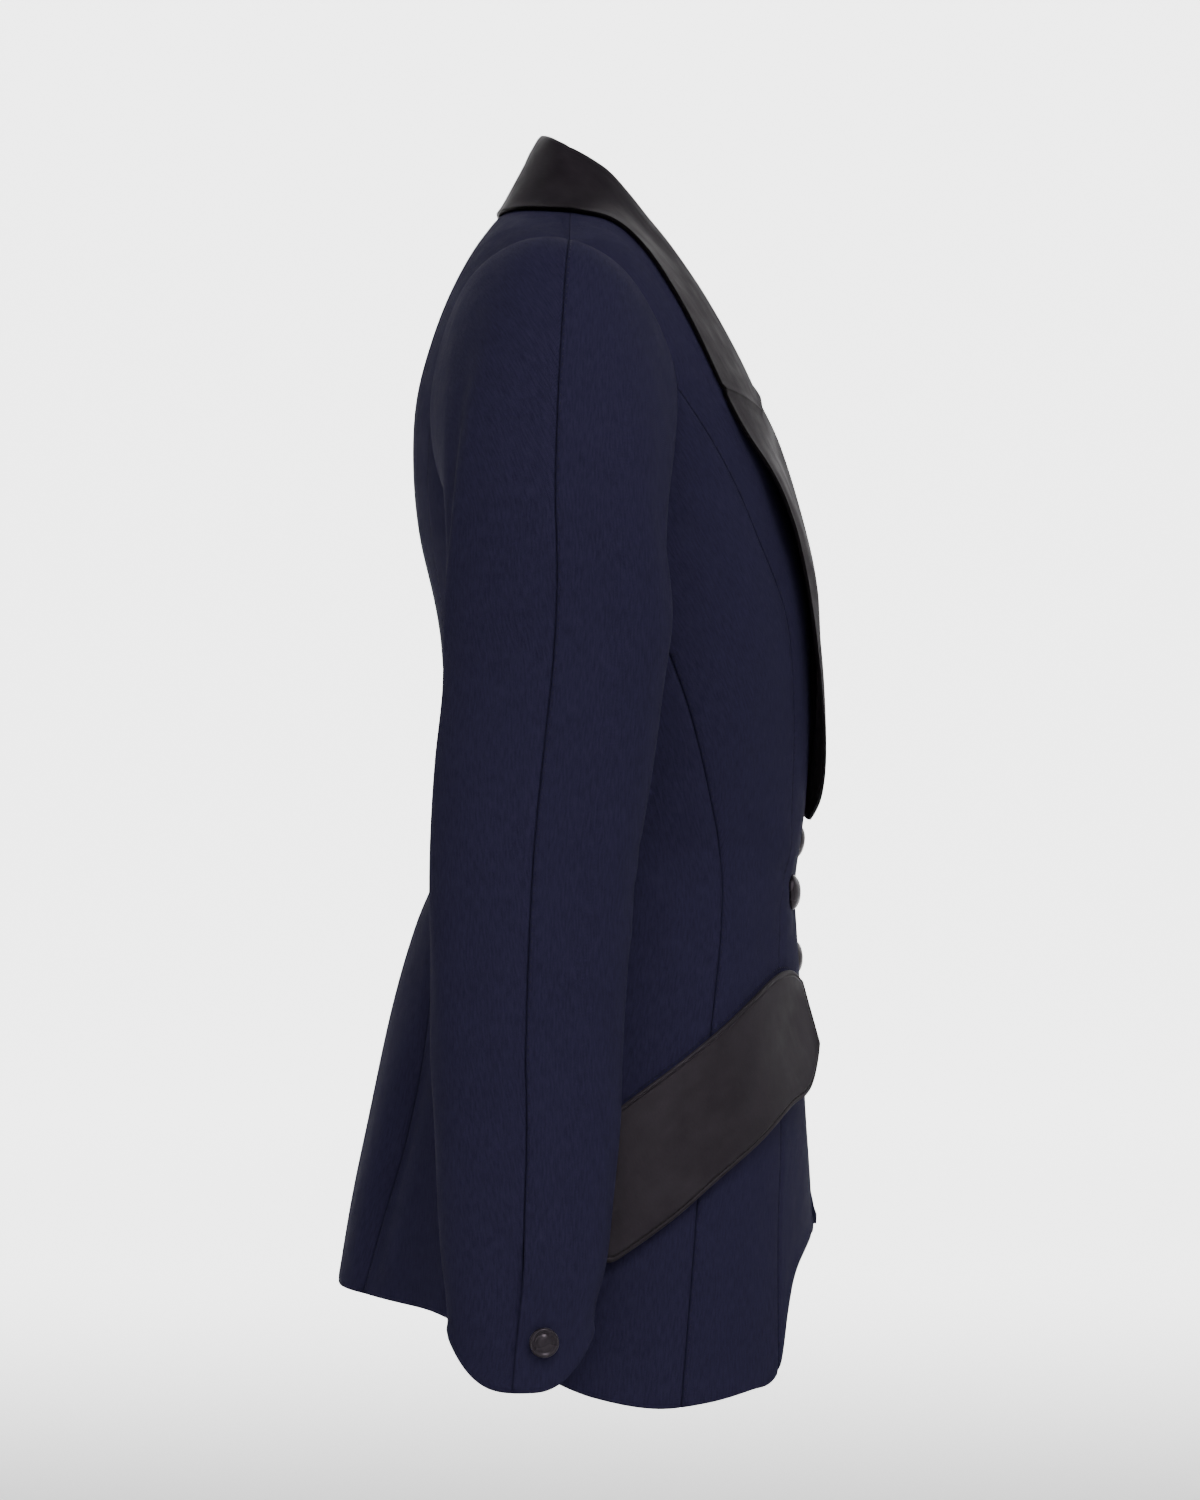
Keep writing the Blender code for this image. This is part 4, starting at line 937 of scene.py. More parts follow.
def hang(piece, node):
    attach(piece, "root")
    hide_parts(node)


class Value:
    """A number in a material; arithmetic on it adds Math nodes."""

    def __init__(self, finish, socket):
        self.finish = finish
        self.socket = socket

    def __add__(self, other):
        return self.finish.maths("ADD", self, other)

    def __sub__(self, other):
        return self.finish.maths("SUBTRACT", self, other)

    def __rsub__(self, other):
        return self.finish.maths("SUBTRACT", other, self)

    def __mul__(self, other):
        return self.finish.maths("MULTIPLY", self, other)

    __radd__ = __add__
    __rmul__ = __mul__


class Finish:
    """A material in the making: its nodes, and the shader that they feed.

    What is the same all over is given by its socket's name and set on the socket itself.
    """

    def __init__(self, name, **uniform):
        self.material = bpy.data.materials.new(name)
        self.material.use_nodes = True
        self.tree = self.material.node_tree
        self.shader = self.tree.nodes["Principled BSDF"]
        for socket, value in uniform.items():
            self.shader.inputs[socket.replace("_", " ")].default_value = value

    def node(self, kind, settings=None, inputs=None):
        """A node of a type, with its settings and the values or links of its sockets."""
        made = self.tree.nodes.new(kind)
        for key, value in (settings or {}).items():
            setattr(made, key, value)
        for key, value in (inputs or {}).items():
            self.feed(made.inputs[key], value)
        return made

    def feed(self, socket, value):
        """Link a socket, or set its value."""
        if isinstance(value, Value):
            value = value.socket
        if isinstance(value, bpy.types.NodeSocket):
            self.tree.links.new(value, socket)
        else:
            socket.default_value = value

    def maths(self, operation, *values):
        """A Math node on numbers and values."""
        made = self.node("ShaderNodeMath", {"operation": operation}, dict(enumerate(values)))
        return Value(self, made.outputs[0])

    def sine(self, value):
        """The sine of a value."""
        return self.maths("SINE", value)

    def cut_place(self):
        """The cloth's own coordinates: metres across, metres up, metres from its edge."""
        return self.node("ShaderNodeAttribute", {"attribute_name": "cut"}).outputs["Vector"]

    def object_place(self):
        """The piece's coordinates in metres."""
        return self.node("ShaderNodeTexCoord").outputs["Object"]

    def parts(self, vector):
        """The three numbers of a vector."""
        made = self.node("ShaderNodeSeparateXYZ", {}, {0: vector})
        return [Value(self, made.outputs[k]) for k in range(3)]

    def stretched(self, vector, scale):
        """A vector multiplied by three factors."""
        return self.node("ShaderNodeVectorMath", {"operation": "MULTIPLY"},
                         {0: vector, 1: scale}).outputs[0]

    def noise(self, vector, scale, detail=2.0, roughness=0.5):
        """Smooth noise from 0 to 1 about a half."""
        made = self.node("ShaderNodeTexNoise", {}, {
            "Vector": vector, "Scale": scale, "Detail": detail, "Roughness": roughness})
        return Value(self, made.outputs["Fac"])

    def mixed(self, factor, first, second):
        """A colour between two colours."""
        made = self.node("ShaderNodeMix", {"data_type": "RGBA", "clamp_factor": True},
                         {0: factor, 6: first, 7: second})
        return made.outputs[2]

    def ranged(self, value, low, high, to_low, to_high):
        """A value carried from one range to another, softly."""
        made = self.node("ShaderNodeMapRange", {"interpolation_type": "SMOOTHSTEP"}, {
            "Value": value, "From Min": low, "From Max": high,
            "To Min": to_low, "To Max": to_high})
        return Value(self, made.outputs[0])

    def finished(self, color, roughness, height, distance):
        """Feed the shader and give the material."""
        bump = self.node("ShaderNodeBump", {}, {
            "Strength": 1.0, "Distance": distance, "Height": height})
        self.feed(self.shader.inputs["Base Color"], color)
        self.feed(self.shader.inputs["Roughness"], roughness)
        self.feed(self.shader.inputs["Normal"], bump.outputs[0])
        return self.material


def grey(level):
    """An opaque grey."""
    return (level, level, level, 1.0)


def wool_finish(look, name):
    """Fine navy suiting: a close twill, a faint mottle, a little fuzz that catches light, and
    painted shade along its seams and edges.
    """
    wool = Finish(name, Sheen_Weight=0.008, Sheen_Roughness=0.50,
                  Sheen_Tint=(0.60, 0.62, 0.90, 1.0), Specular_IOR_Level=0.02)
    place = wool.cut_place()
    across, up, edge = wool.parts(place)
    turn = 2 * math.pi / look.twill_pitch
    twill = wool.sine((across + up * 0.9) * turn)
    thread = wool.sine((across - up * 1.4) * (turn * 1.9))
    fuzz = wool.noise(place, WOOL_FUZZ)
    slub = wool.noise(wool.stretched(place, WOOL_SLUB), 1.0)
    mottle = wool.noise(place, WOOL_MOTTLE, 3.0, 0.6)
    cloud = wool.noise(place, WOOL_CLOUD, 1.0)
    tone = fuzz * 0.35 + slub * 0.45 + mottle * 0.12 + cloud * 0.06 + twill * 0.05
    color = wool.mixed(wool.ranged(tone, 0.28, 0.64, 0.0, 1.0),
                       (*look.wool_dark, 1.0), (*look.wool_light, 1.0))
    # Painted shade: near every edge of the piece, sewn or free, the wool darkens towards the shade
    # colour, as shade in a seam's groove.
    seam = wool.ranged(edge, 0.0, look.seam_shade, 0.45, 0.0)
    color = wool.mixed(seam, color, (*look.wool_groove_shade, 1.0))
    height = twill * 0.22 + thread * 0.10 + fuzz * 0.30 + slub * 0.30
    roughness = wool.ranged(mottle, *NOISE_RANGE, 0.74, 0.86)
    return wool.finished(color, roughness, height, look.wool_relief)


def satin_finish(look, name, gloss=0.05, smooth=0.46, stitched=False, on_cloth=True):
    """Black satin: smooth floating threads, soft bands of sheen, a faint cloudiness, and painted
    shade along its seams, edges and stitching.
    """
    satin = Finish(name, Sheen_Weight=0.02, Sheen_Roughness=0.35,
                   Sheen_Tint=(1.0, 0.84, 0.96, 1.0), Specular_IOR_Level=gloss,
                   Specular_Tint=(1.0, 0.86, 1.0, 1.0), Anisotropic=0.30)
    place = satin.cut_place() if on_cloth else satin.object_place()
    threads = satin.noise(satin.stretched(place, SATIN_THREADS), 1.0)
    cloud = satin.noise(place, SATIN_CLOUD, 2.0, 0.6)
    pull = satin.noise(satin.stretched(place, SATIN_PULL), 1.0)
    color = satin.mixed(satin.ranged(cloud * 0.7 + threads * 0.3, *NOISE_RANGE, 0.0, 1.0),
                        (*look.satin_dark, 1.0), (*look.satin_light, 1.0))
    roughness = satin.ranged(cloud, *NOISE_RANGE, smooth, smooth + 0.14)
    height = threads * 0.10 + cloud * 0.55 + pull * 1.1
    if on_cloth:
        # Painted shade: near every edge of the piece, sewn or free, the satin darkens towards the
        # shade colour, as shade in a seam's groove; a stitched piece also darkens along the groove
        # of its stitching.
        edge = satin.parts(place)[2]
        groove = satin.ranged(edge, 0.0, look.satin_seam_shade, 0.90, 0.0)
        if stitched:
            off = satin.maths("ABSOLUTE", edge - SATIN_STITCH.beside)
            groove = groove * 0.5 + satin.ranged(off, 0.0, SATIN_STITCH_GROOVE, 0.55, 0.0)
            height = height - satin.ranged(off, 0.0, SATIN_STITCH_GROOVE * 1.6, 1.6, 0.0)
        color = satin.mixed(groove, color, (*look.satin_groove_shade, 1.0))
    return satin.finished(color, roughness, height, look.satin_relief)


def thread_finish(name, color, shade):
    """Twisted sewing thread."""
    thread = Finish(name, Sheen_Weight=0.01, Specular_IOR_Level=0.08)
    twist = thread.noise(thread.object_place(), THREAD_TWIST, 1.0)
    tone = thread.mixed(twist, (*shade, 1.0), (*color, 1.0))
    roughness = thread.ranged(twist, *NOISE_RANGE, 0.45, 0.6)
    return thread.finished(tone, roughness, twist, THREAD_RELIEF)


def made_once(name, maker, **details):
    """The material of that name, made on first use in the scene's colours."""
    known = bpy.data.materials.get(name)
    return known or maker(bpy.context.scene.blazer_look, name, **details)


def wool():
    """The navy wool."""
    return made_once("navy wool", wool_finish)


def satin():
    """The black satin."""
    return made_once("black satin", satin_finish)


def flap_satin():
    """The same satin, stitched near its edges."""
    return made_once("flap satin", satin_finish, gloss=0.20, stitched=True)


def button_satin():
    """The same satin, pulled tight and glossy over a button."""
    return made_once("button satin", satin_finish, gloss=0.30, smooth=0.22, on_cloth=False)


def seam_places():
    """The three seams of the right half of the body, from the hem to the armhole."""
    def rows(place_at, column):
        return place_at(np.array([getattr(row, column) for row in SEAMS]),
                        np.array([row.z for row in SEAMS]))

    princess = seam_line(rows(at_front, "princess_x"), armhole_place(FRONT_NOTCH))
    side = seam_line(rows(at_side, "side_y"), armhole_place(SIDE_SEAM_NOTCH))
    back = seam_line(rows(at_back, "back_princess_x"), armhole_place(BACK_NOTCH))
    return princess, side, back


def front_edge_run():
    """Places up the front edge and the roll line, from the hem to the shoulder seam."""
    steps = EDGE_STEPS * FINE
    edge_z = np.linspace(FRONT_EDGE[0].z, BREAK_Z, steps + 1)[:-1]
    edge = at_front(-column_value(FRONT_EDGE, "z", "past_centre", edge_z), edge_z)
    gorge_z = body_point(*roll_place(1.0))[2]
    roll_z = np.linspace(BREAK_Z, gorge_z, steps + 1)[:-1]
    roll = at_front(lower_roll_x(roll_z), roll_z)
    neck_steps = (BODY_ROWS + FRONT_NOTCH * ARMHOLE_STEPS - 2 * EDGE_STEPS) * FINE
    return np.concatenate((edge, roll, roll_place(np.linspace(1.0, 0.0, neck_steps + 1))))


def make_panel(node, places, lift, mirrored, sewn, turned):
    """One panel of the body as cloth; its grid is kept for the stitches."""
    points, normals = surface(places, lift, mirrored)
    points = seam_inset(points, normals, sewn)
    points = shape_edges(points, normals, sewn, turned)
    PIECE_GRIDS[node] = (points, normals, mirrored)
    hang(cloth(node + "_cloth", points, normals, wool(), mirrored), node)


def turned_over(base, edge, rise, stand, lift, mirrored):
    """Middle surface of a turned-over wall: up from base, over a soft roll, down to edge."""
    def ground(places):
        points, normals = surface(places, lift, mirrored)
        return points + normals * (LAY_GAP + CLOTH / 2), normals

    foot = ground(base)[0]
    end = ground(edge)[0]
    outward = end - foot
    outward[:, 2] = 0.0
    outward = unit(outward)
    normal = body_normal(base[:, 0], base[:, 1])
    lines = [foot - normal * FOOT_DROP - outward * FOOT_OUT]
    lines += [foot + rise * share - outward * FOOT_OUT * (1 - share) for share in STAND_STEPS]
    lines.append(foot + rise + outward * FOLD_OUT)
    for f in FALL_STEPS:
        spot = base + (edge - base) * f
        point, normal = ground(spot)
        out = outward * FOLD_OUT * 2 * (1 - f) ** FOLD_FADE + normal * stand(f)[:, None]
        lines.append(point + rise * (1 - f) ** FALL_POWER + out)
    lines = np.stack(lines)
    spread = np.linalg.norm(np.diff(lines, axis=0), axis=-1).mean(axis=1)
    along = np.concatenate(((0.0,), np.cumsum(spread)))
    wanted = np.linspace(0.0, along[-1], LAPEL_COLUMNS + 1)
    return np.moveaxis(curve(along, lines, wanted), 0, 1)


def ripple_depth(ripples, rows, columns, roll_share):
    """How far a satin piece's ripples move it out, over its rows and columns."""
    along = np.linspace(0, 1, rows)[:, None]
    across = (np.linspace(0, 1, columns)[None, :] - roll_share) / (1 - roll_share)
    total = np.zeros((rows, columns))
    for ripple in ripples:
        start = np.array((ripple.along_from, ripple.across_from * RIPPLE_ASPECT))
        way = np.array((ripple.along_to, ripple.across_to * RIPPLE_ASPECT)) - start
        length = np.hypot(*way)
        way = way / length
        a = along - start[0]
        c = across * RIPPLE_ASPECT - start[1]
        t = np.clip((a * way[0] + c * way[1]) / length, 0, 1)
        off = c * way[0] - a * way[1]
        total += ripple.depth * np.exp(-(off / ripple.width) ** 2) * np.sin(np.pi * t)
    start, end = RIPPLE_FADE
    return total * smooth_step(0.0, start, across) * (1 - smooth_step(end, 1.0, across))


def collar_edge(along):
    """Places of the collar's outer edge."""
    return in_plan(*column_values(COLLAR, "along", ("edge_x", "edge_y"), along))


def satin_piece(node, middle, ripples, mirrored, sewn):
    """A turned-over satin piece from its middle surface."""
    normals = grid_normals(middle)
    out = CLOTH / 2 + ripple_depth(ripples, *middle.shape[:2], ROLL_SHARE)
    points = middle + normals * out[..., None]
    points = shape_edges(points, normals, sewn, (), SATIN_DIP)
    PIECE_GRIDS[node] = (points, normals, mirrored)
    hang(cloth(node + "_satin", points, normals, satin(), mirrored), node)


def lapel_middle(side, lift, power, mirrored):
    """The middle surface of a lapel, rolled over, with its outer edge standing off the chest."""
    gorge_z = body_point(*roll_place(1.0))[2]
    edge_z = body_point(*collar_edge(1.0))[2]
    share = np.linspace(0, 1, LAPEL_ROWS + 1)
    z = edge_z + (LAPEL[-1].z - edge_z) * share
    roll_z = gorge_z + (BREAK_Z - gorge_z) * share
    base = at_front(lower_roll_x(roll_z), roll_z)
    edge = at_front(column_value(LAPEL, "z", "edge_x", z), z)
    base[0] = roll_place(1.0)
    edge[0] = collar_edge(1.0)
    roll, stand = column_values(LAPEL, "z", ("roll_" + side, "stand_" + side), z)
    rise = body_normal(base[:, 0], base[:, 1]) * roll[:, None]
    return turned_over(base, edge, rise, lambda f: stand * f ** power, lift, mirrored)


def collar_middle():
    """The middle surface of the collar's right half, from centre back to the gorge."""
    along = np.linspace(-1.0, 1.0, COLLAR_STATIONS + 1)
    base = np.where((along < 0)[:, None], back_neck_place(np.maximum(-along, 0.0)),
                    roll_place(np.maximum(along, 0.0)))
    rise = np.stack(column_values(COLLAR, "along", ("rise_in", "rise_back", "rise_up"), along),
                    axis=-1)
    return turned_over(base, collar_edge(along), rise, lambda f: np.zeros(len(along)),
                       no_lift, False)


def eased(whole, gorge):
    """The joined surface, smoothed along its length where the collar meets the lapel."""
    smooth = whole.copy()
    for _ in range(EASE_PASSES):
        smooth[1:-1] = (smooth[:-2] + 2 * smooth[1:-1] + smooth[2:]) / 4
    share = np.exp(-((np.arange(len(whole)) - gorge) / EASE_REACH) ** 2)[:, None, None]
    return whole * (1 - share) + smooth * share


def gorge_cut(whole, gorge):
    """Where each column of a joined collar and lapel crosses the angled gorge seam."""
    share = np.linspace(0, 1, whole.shape[1])
    offset = np.interp(share, *zip(*GORGE_LINE))
    reach = run_length(whole, 0)
    rows = np.arange(len(whole))
    return np.array([np.interp(reach[gorge, k] + offset[k], reach[:, k], rows)
                     for k in range(whole.shape[1])])


def stretch(whole, start, end, steps):
    """The part of a grid between two lines across it, as an even grid of its own."""
    rows = np.arange(len(whole))
    return np.stack([curve(rows, whole[:, k], np.linspace(start[k], end[k], steps + 1))
                     for k in range(whole.shape[1])], axis=1)


def make_shawl():
    """The collar and both lapels, cut apart at the gorge seams of one rolled-over surface."""
    upper = collar_middle()
    gorge = len(upper) - 1
    collars = []
    for side, lift, power, mirrored in (("right", right_lift, LAPEL_STAND_POWER, False),
                                        ("left", left_lift, LEFT_STAND_POWER, True)):
        lower = lapel_middle(side, lift, power, mirrored)
        whole = np.concatenate((upper[:-1], (upper[-1:] + lower[:1]) / 2, lower[1:]))
        whole = eased(whole, gorge)
        cut = gorge_cut(whole, gorge)
        columns = whole.shape[1]
        collars.append(stretch(whole, np.zeros(columns), cut, COLLAR_STATIONS))
        lapel = stretch(whole, cut, np.full(columns, len(whole) - 1.0), LAPEL_ROWS)
        satin_piece("lapel_" + side, lapel, LAPEL_RIPPLES, mirrored, ("first row",))
    right, left = collars
    middle = np.concatenate((left[:0:-1] * (-1.0, 1.0, 1.0), right))
    satin_piece("collar", middle, COLLAR_RIPPLES, False, ("first row", "last row"))


def make_flaps():
    """The slanted hip flaps, sewn at the top edge and loose below, with round lower corners."""
    share = np.linspace(0, 1, FLAP_COLUMNS + 1)
    degrees = FLAP[0].angle + (FLAP[-1].angle - FLAP[0].angle) * share
    top, bottom, lift_top, lift_bottom = column_values(
        FLAP, "angle", ("top", "bottom", "lift_top", "lift_bottom"), degrees)
    length = np.radians(FLAP[-1].angle - FLAP[0].angle) * CREASE_RADIUS
    from_end = np.minimum(share, 1 - share) * length
    corner = np.where(share < 0.5, FLAP_FRONT_CORNER, FLAP_CORNER)
    short = np.clip(1 - from_end / corner, 0, 1)
    bottom = bottom + corner * (1 - np.sqrt(1 - CORNER_FULLNESS * short ** 2))
    f = np.linspace(0, 1, FLAP_ROWS + 1)[:, None]
    z = top + (bottom - top) * f
    angle = np.broadcast_to(np.radians(degrees), z.shape)
    places = placed(angle, height_index(lambda w: angle, z))
    for side, mirrored in (("right", False), ("left", True)):
        points, normals = surface(places, right_lift, mirrored)
        stand = LAY_GAP + CLOTH + lift_top + (lift_bottom - lift_top) * f
        ripple = ripple_depth(FLAP_RIPPLES, FLAP_COLUMNS + 1, FLAP_ROWS + 1, 0.0).T
        points = points + normals * (stand + ripple)[..., None]
        node = "flap_" + side
        PIECE_GRIDS[node] = (points, normals, mirrored)
        hang(cloth(node + "_satin", points, normals, flap_satin(), mirrored), node)


def armhole_ring():
    """The sleeve's head: the armhole's own points, just outside it."""
    places = armhole_run(0, len(ARMHOLE))[:-1]
    turn = 2 * np.pi * np.arange(len(places)) / len(places)
    out = UNDER_ARM_GAP * (1 - np.cos(turn)) / 2
    normals = body_normal(places[:, 0], places[:, 1])
    points = body_point(places[:, 0], places[:, 1])
    return points + normals * out[:, None] - np.array((ARMHOLE_GAP, 0.0, 0.0))


def sleeve_ring(z, count):
    """One ring of the hanging sleeve, from the centre seam round the front and under."""
    turn = 2 * np.pi * np.arange(count) / count
    x, y, half_x, half_y, tilt = column_values(
        SLEEVE, "z", ("x", "y", "half_x", "half_y", "tilt"), z)
    rise = CUFF_RISE * np.abs(np.sin(turn)) ** 3 * smooth_step(CUFF_START, SLEEVE[-1].z, z)
    return np.stack((-x - half_x * np.cos(turn), y - half_y * np.sin(turn),
                     z + tilt * np.cos(turn) + rise), axis=-1)


def cap_rings(head, arm, steps):
    """The rings of the sleeve's cap: a soft bend from the armhole over to the arm."""
    turn = 2 * np.pi * np.arange(len(head)) / len(head)
    under = ((1 - np.cos(turn)) / 2) ** CAP_UNDER_POWER
    away = unit(np.stack((-np.ones(len(head)), np.zeros(len(head)),
                          CAP_ROPE + (CAP_UNDER - CAP_ROPE) * under), axis=-1))
    pull = np.linalg.norm(arm - head, axis=-1, keepdims=True) * CAP_PULL
    start = head + away * pull
    end = arm + np.array((0.0, 0.0, 1.0)) * pull
    t = (np.arange(steps) / steps)[:, None, None]
    upper = head * (1 - t) ** 3 + start * 3 * t * (1 - t) ** 2
    return upper + end * 3 * t * t * (1 - t) + arm * t ** 3


def lapped(points, normals):
    """Lift the vent's front edge and lap it over the back one."""
    depth = -points[:, :1, 2]
    steps = np.arange(points.shape[1]) / FINE
    rise = LAP_LIFT * smooth_step(-VENT_TOP - VENT_RAMP, -VENT_TOP, depth)
    rise = rise * curve(range(len(VENT_LIFT)), VENT_LIFT, steps) * (steps < len(VENT_LIFT) - 1)
    lap = VENT_LAP * np.clip((depth + VENT_TOP) / VENT_LAP_RUN, 0, 1)
    past = unit(points[:, :1] - points[:, 1:2])
    moved = points + normals * rise[..., None]
    return moved + past * (lap * np.clip(1 - steps, 0, 1))[..., None]


def make_sleeve(side, creases, mirrored):
    """The front and back half of a sleeve, with a lapped vent at the cuff."""
    head = armhole_ring()
    count = len(head)
    arm = sleeve_ring(SLEEVE[0].z, count)
    heights = np.linspace(SLEEVE[0].z, SLEEVE[-1].z, SLEEVE_STEPS * FINE + 1)
    rings = np.concatenate((cap_rings(head, arm, CAP_STEPS * FINE),
                            [sleeve_ring(z, count) for z in heights]))
    down = np.gradient(rings, axis=0)
    around = np.roll(rings, -1, axis=1) - np.roll(rings, 1, axis=1)
    normals = unit(np.cross(down, around))
    turns = np.degrees(2 * np.pi * np.arange(count) / count)
    turns = np.where(turns > 180, turns - 360, turns)
    out = crease_depth(creases, SLEEVE_RADIUS, np.broadcast_to(turns, rings.shape[:2]),
                       rings[..., 2])
    out *= smooth_step(0, CAP_SMOOTH * FINE, np.arange(len(rings)))[:, None]
    rings = rings + normals * out[..., None]
    under = UNDER_ARM * ARMHOLE_STEPS * FINE
    halves = (("sleeve_front_", np.arange(under + 1)),
              ("sleeve_back_", np.append(np.arange(under, count), 0)))
    for half, columns in halves:
        points = rings[:, columns]
        outward = normals[:, columns]
        points = seam_inset(points, outward, ("first column", "last column"))
        sewn = ("first row", "first column", "last column")
        points = shape_edges(points, outward, sewn, ("last row",))
        if half == "sleeve_front_":
            points = lapped(points, outward)
        node = half + side
        PIECE_GRIDS[node] = (points, outward, mirrored)
        hang(cloth(node + "_cloth", points, outward, wool(), mirrored), node)


def make_button(name, profile, seat, direction):
    """A covered button that faces along direction, with its base on the seat."""
    button, turn = add_turned(name + "_satin", profile, BUTTON_STEPS, button_satin())
    turn.use_merge_vertices = True
    turn.merge_threshold = BUTTON_MERGE
    button.matrix_world = (Matrix.Translation(seat)
                           @ direction.to_track_quat("Z", "Y").to_matrix().to_4x4())
    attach(button, "root")
    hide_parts(name)


def make_front_buttons():
    """The front buttons, zigzag on the right front."""
    def front_point(x, z):
        place = at_front(-x, z)
        point = body_point(*place)
        return Vector(point + body_normal(*place) * right_lift(point))

    reach = BUTTON_FLAT
    corner = BUTTON_CORNER * reach
    for name, x, z in FRONT_BUTTONS:
        across = front_point(x + reach, z) - front_point(x - reach, z)
        up = front_point(x, z + reach) - front_point(x, z - reach)
        outward = across.cross(up).normalized()
        middle = front_point(x, z)
        proud = max((front_point(x + a, z + b) - middle).dot(outward)
                    for a in (-corner, corner) for b in (-corner, corner))
        seat = max(0.0, proud) + BUTTON_SEAT - BUTTON_DENT - BUTTON_SINK
        make_button(name, FRONT_BUTTON, middle + outward * seat, outward)


def make_cuff_buttons():
    """One button on the lapped front edge of each cuff's vent."""
    x, y, half_x, half_y = map(float, column_values(
        SLEEVE, "z", ("x", "y", "half_x", "half_y"), CUFF_BUTTON_Z))
    turn = math.radians(CUFF_BUTTON_TURN)
    outward = Vector((-math.cos(turn) / half_x, -math.sin(turn) / half_y, 0.0)).normalized()
    spot = Vector((-x - half_x * math.cos(turn), y - half_y * math.sin(turn), CUFF_BUTTON_Z))
    seat = spot + outward * (LAP_LIFT + BUTTON_SEAT)
    make_button("button_cuff_right", CUFF_BUTTON, seat, outward)
    mirror = Vector((-1.0, 1.0, 1.0))
    make_button("button_cuff_left", CUFF_BUTTON, seat * mirror, outward * mirror)


def beside(node, side, distance, last):
    """A line on a piece at a distance from one of its sides, with its normals.

    It runs from the side's start to the share last of its length.
    """
    points, normals, _ = PIECE_GRIDS[node]
    if side in ("first row", "last row"):
        points = points.swapaxes(0, 1)
        normals = normals.swapaxes(0, 1)
    if side in ("last column", "last row"):
        points = points[:, ::-1]
        normals = normals[:, ::-1]
    reach = run_length(points, 1)
    rows = range(round(last * (len(points) - 1)) + 1)
    line = np.array([read_along(reach[row], points[row], distance) for row in rows])
    outward = np.array([read_along(reach[row], normals[row], distance) for row in rows])
    return line, unit(outward)


def stitch_row(line, normals, stitch):
    """Corners and triangles of a row of stitches along a line."""
    reach = run_length(line[None], 1)[0]
    starts = np.arange(stitch.pitch, reach[-1] - stitch.pitch, stitch.pitch)
    ends = starts + stitch.length
    a = read_along(reach, line, starts)
    b = read_along(reach, line, ends)
    out = unit(read_along(reach, normals, starts))
    way = unit(b - a)
    side = unit(np.cross(way, out))
    turn = 2 * np.pi * np.arange(STITCH_SIDES) / STITCH_SIDES
    circle = (np.cos(turn)[None, :, None] * side[:, None] * STITCH_FLAT
              + np.sin(turn)[None, :, None] * out[:, None]) * stitch.radius
    lift = out * stitch.radius * STITCH_RISE
    early = (a + (b - a) * STITCH_TAPER + lift)[:, None] + circle
    late = (a + (b - a) * (1 - STITCH_TAPER) + lift)[:, None] + circle
    sink = out * stitch.radius
    corners = np.concatenate(((a - sink)[:, None], early, late, (b - sink)[:, None]), axis=1)
    count = corners.shape[1]
    ring = np.arange(STITCH_SIDES)
    after = (ring + 1) % STITCH_SIDES
    tip = np.stack((np.zeros(STITCH_SIDES, int), 1 + after, 1 + ring), axis=-1)
    second = 1 + STITCH_SIDES
    wall_a = np.stack((1 + ring, 1 + after, second + ring), axis=-1)
    wall_b = np.stack((1 + after, second + after, second + ring), axis=-1)
    tail = np.stack((np.full(STITCH_SIDES, count - 1), second + ring, second + after), axis=-1)
    faces = np.concatenate((tip, wall_a, wall_b, tail))
    faces = faces[None] + (np.arange(len(starts)) * count)[:, None, None]
    return corners.reshape(-1, 3), faces.reshape(-1, 3)


def sew(name, rows, stitch, material):
    """The stitches beside some pieces' sides (node, side, last) as one mesh."""
    lines = [beside(node, side, stitch.beside, last) for node, side, last in rows]
    sew_rows(name, lines, stitch, material, PIECE_GRIDS[rows[0][0]][2])


def sew_rows(name, lines, stitch, material, mirrored):
    """The stitches of some lines (points, normals) as one mesh."""
    corners = []
    faces = []
    total = 0
    for line, normals in lines:
        points, triangles = stitch_row(line, normals, stitch)
        if mirrored:
            points = points * (-1.0, 1.0, 1.0)
            triangles = triangles[:, ::-1]
        corners.append(points)
        faces.append(triangles + total)
        total += len(points)
    piece = add_object(name, np.concatenate(corners).tolist(), [],
                       np.concatenate(faces).tolist(), material)
    piece.data.shade_smooth()
    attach(piece, "root")


def sew_over_flap(end, material):
    """The topstitching on the wool just above a flap's top edge, and its bar tacks."""
    mirrored = end == "_left"
    lift = left_lift if mirrored else right_lift
    degrees = np.linspace(FLAP[0].angle, FLAP[-1].angle, FLAP_COLUMNS + 1)
    angle = np.radians(degrees)
    z = column_value(FLAP, "angle", "top", degrees) + OVER_FLAP
    places = placed(angle, height_index(lambda w: angle, z))
    points, normals = surface(places, lift, mirrored)
    lines = [(points, normals)]
    upright = np.array((0.0, 0.0, 1.0))
    steps = np.linspace(-TACK_LENGTH / 2, TACK_LENGTH / 2, TACK_STEPS + 1)[:, None]
    for index in (0, -1):
        way = unit(np.cross(normals[index], upright))
        for shift in np.linspace(-TACK_WIDTH / 2, TACK_WIDTH / 2, TACK_THREADS):
            line = points[index] + upright * steps + way * shift
            lines.append((line, np.repeat(normals[index][None], len(line), axis=0)))
    sew_rows("over_flap_stitches" + end, lines, OVER_FLAP_STITCH, material, mirrored)


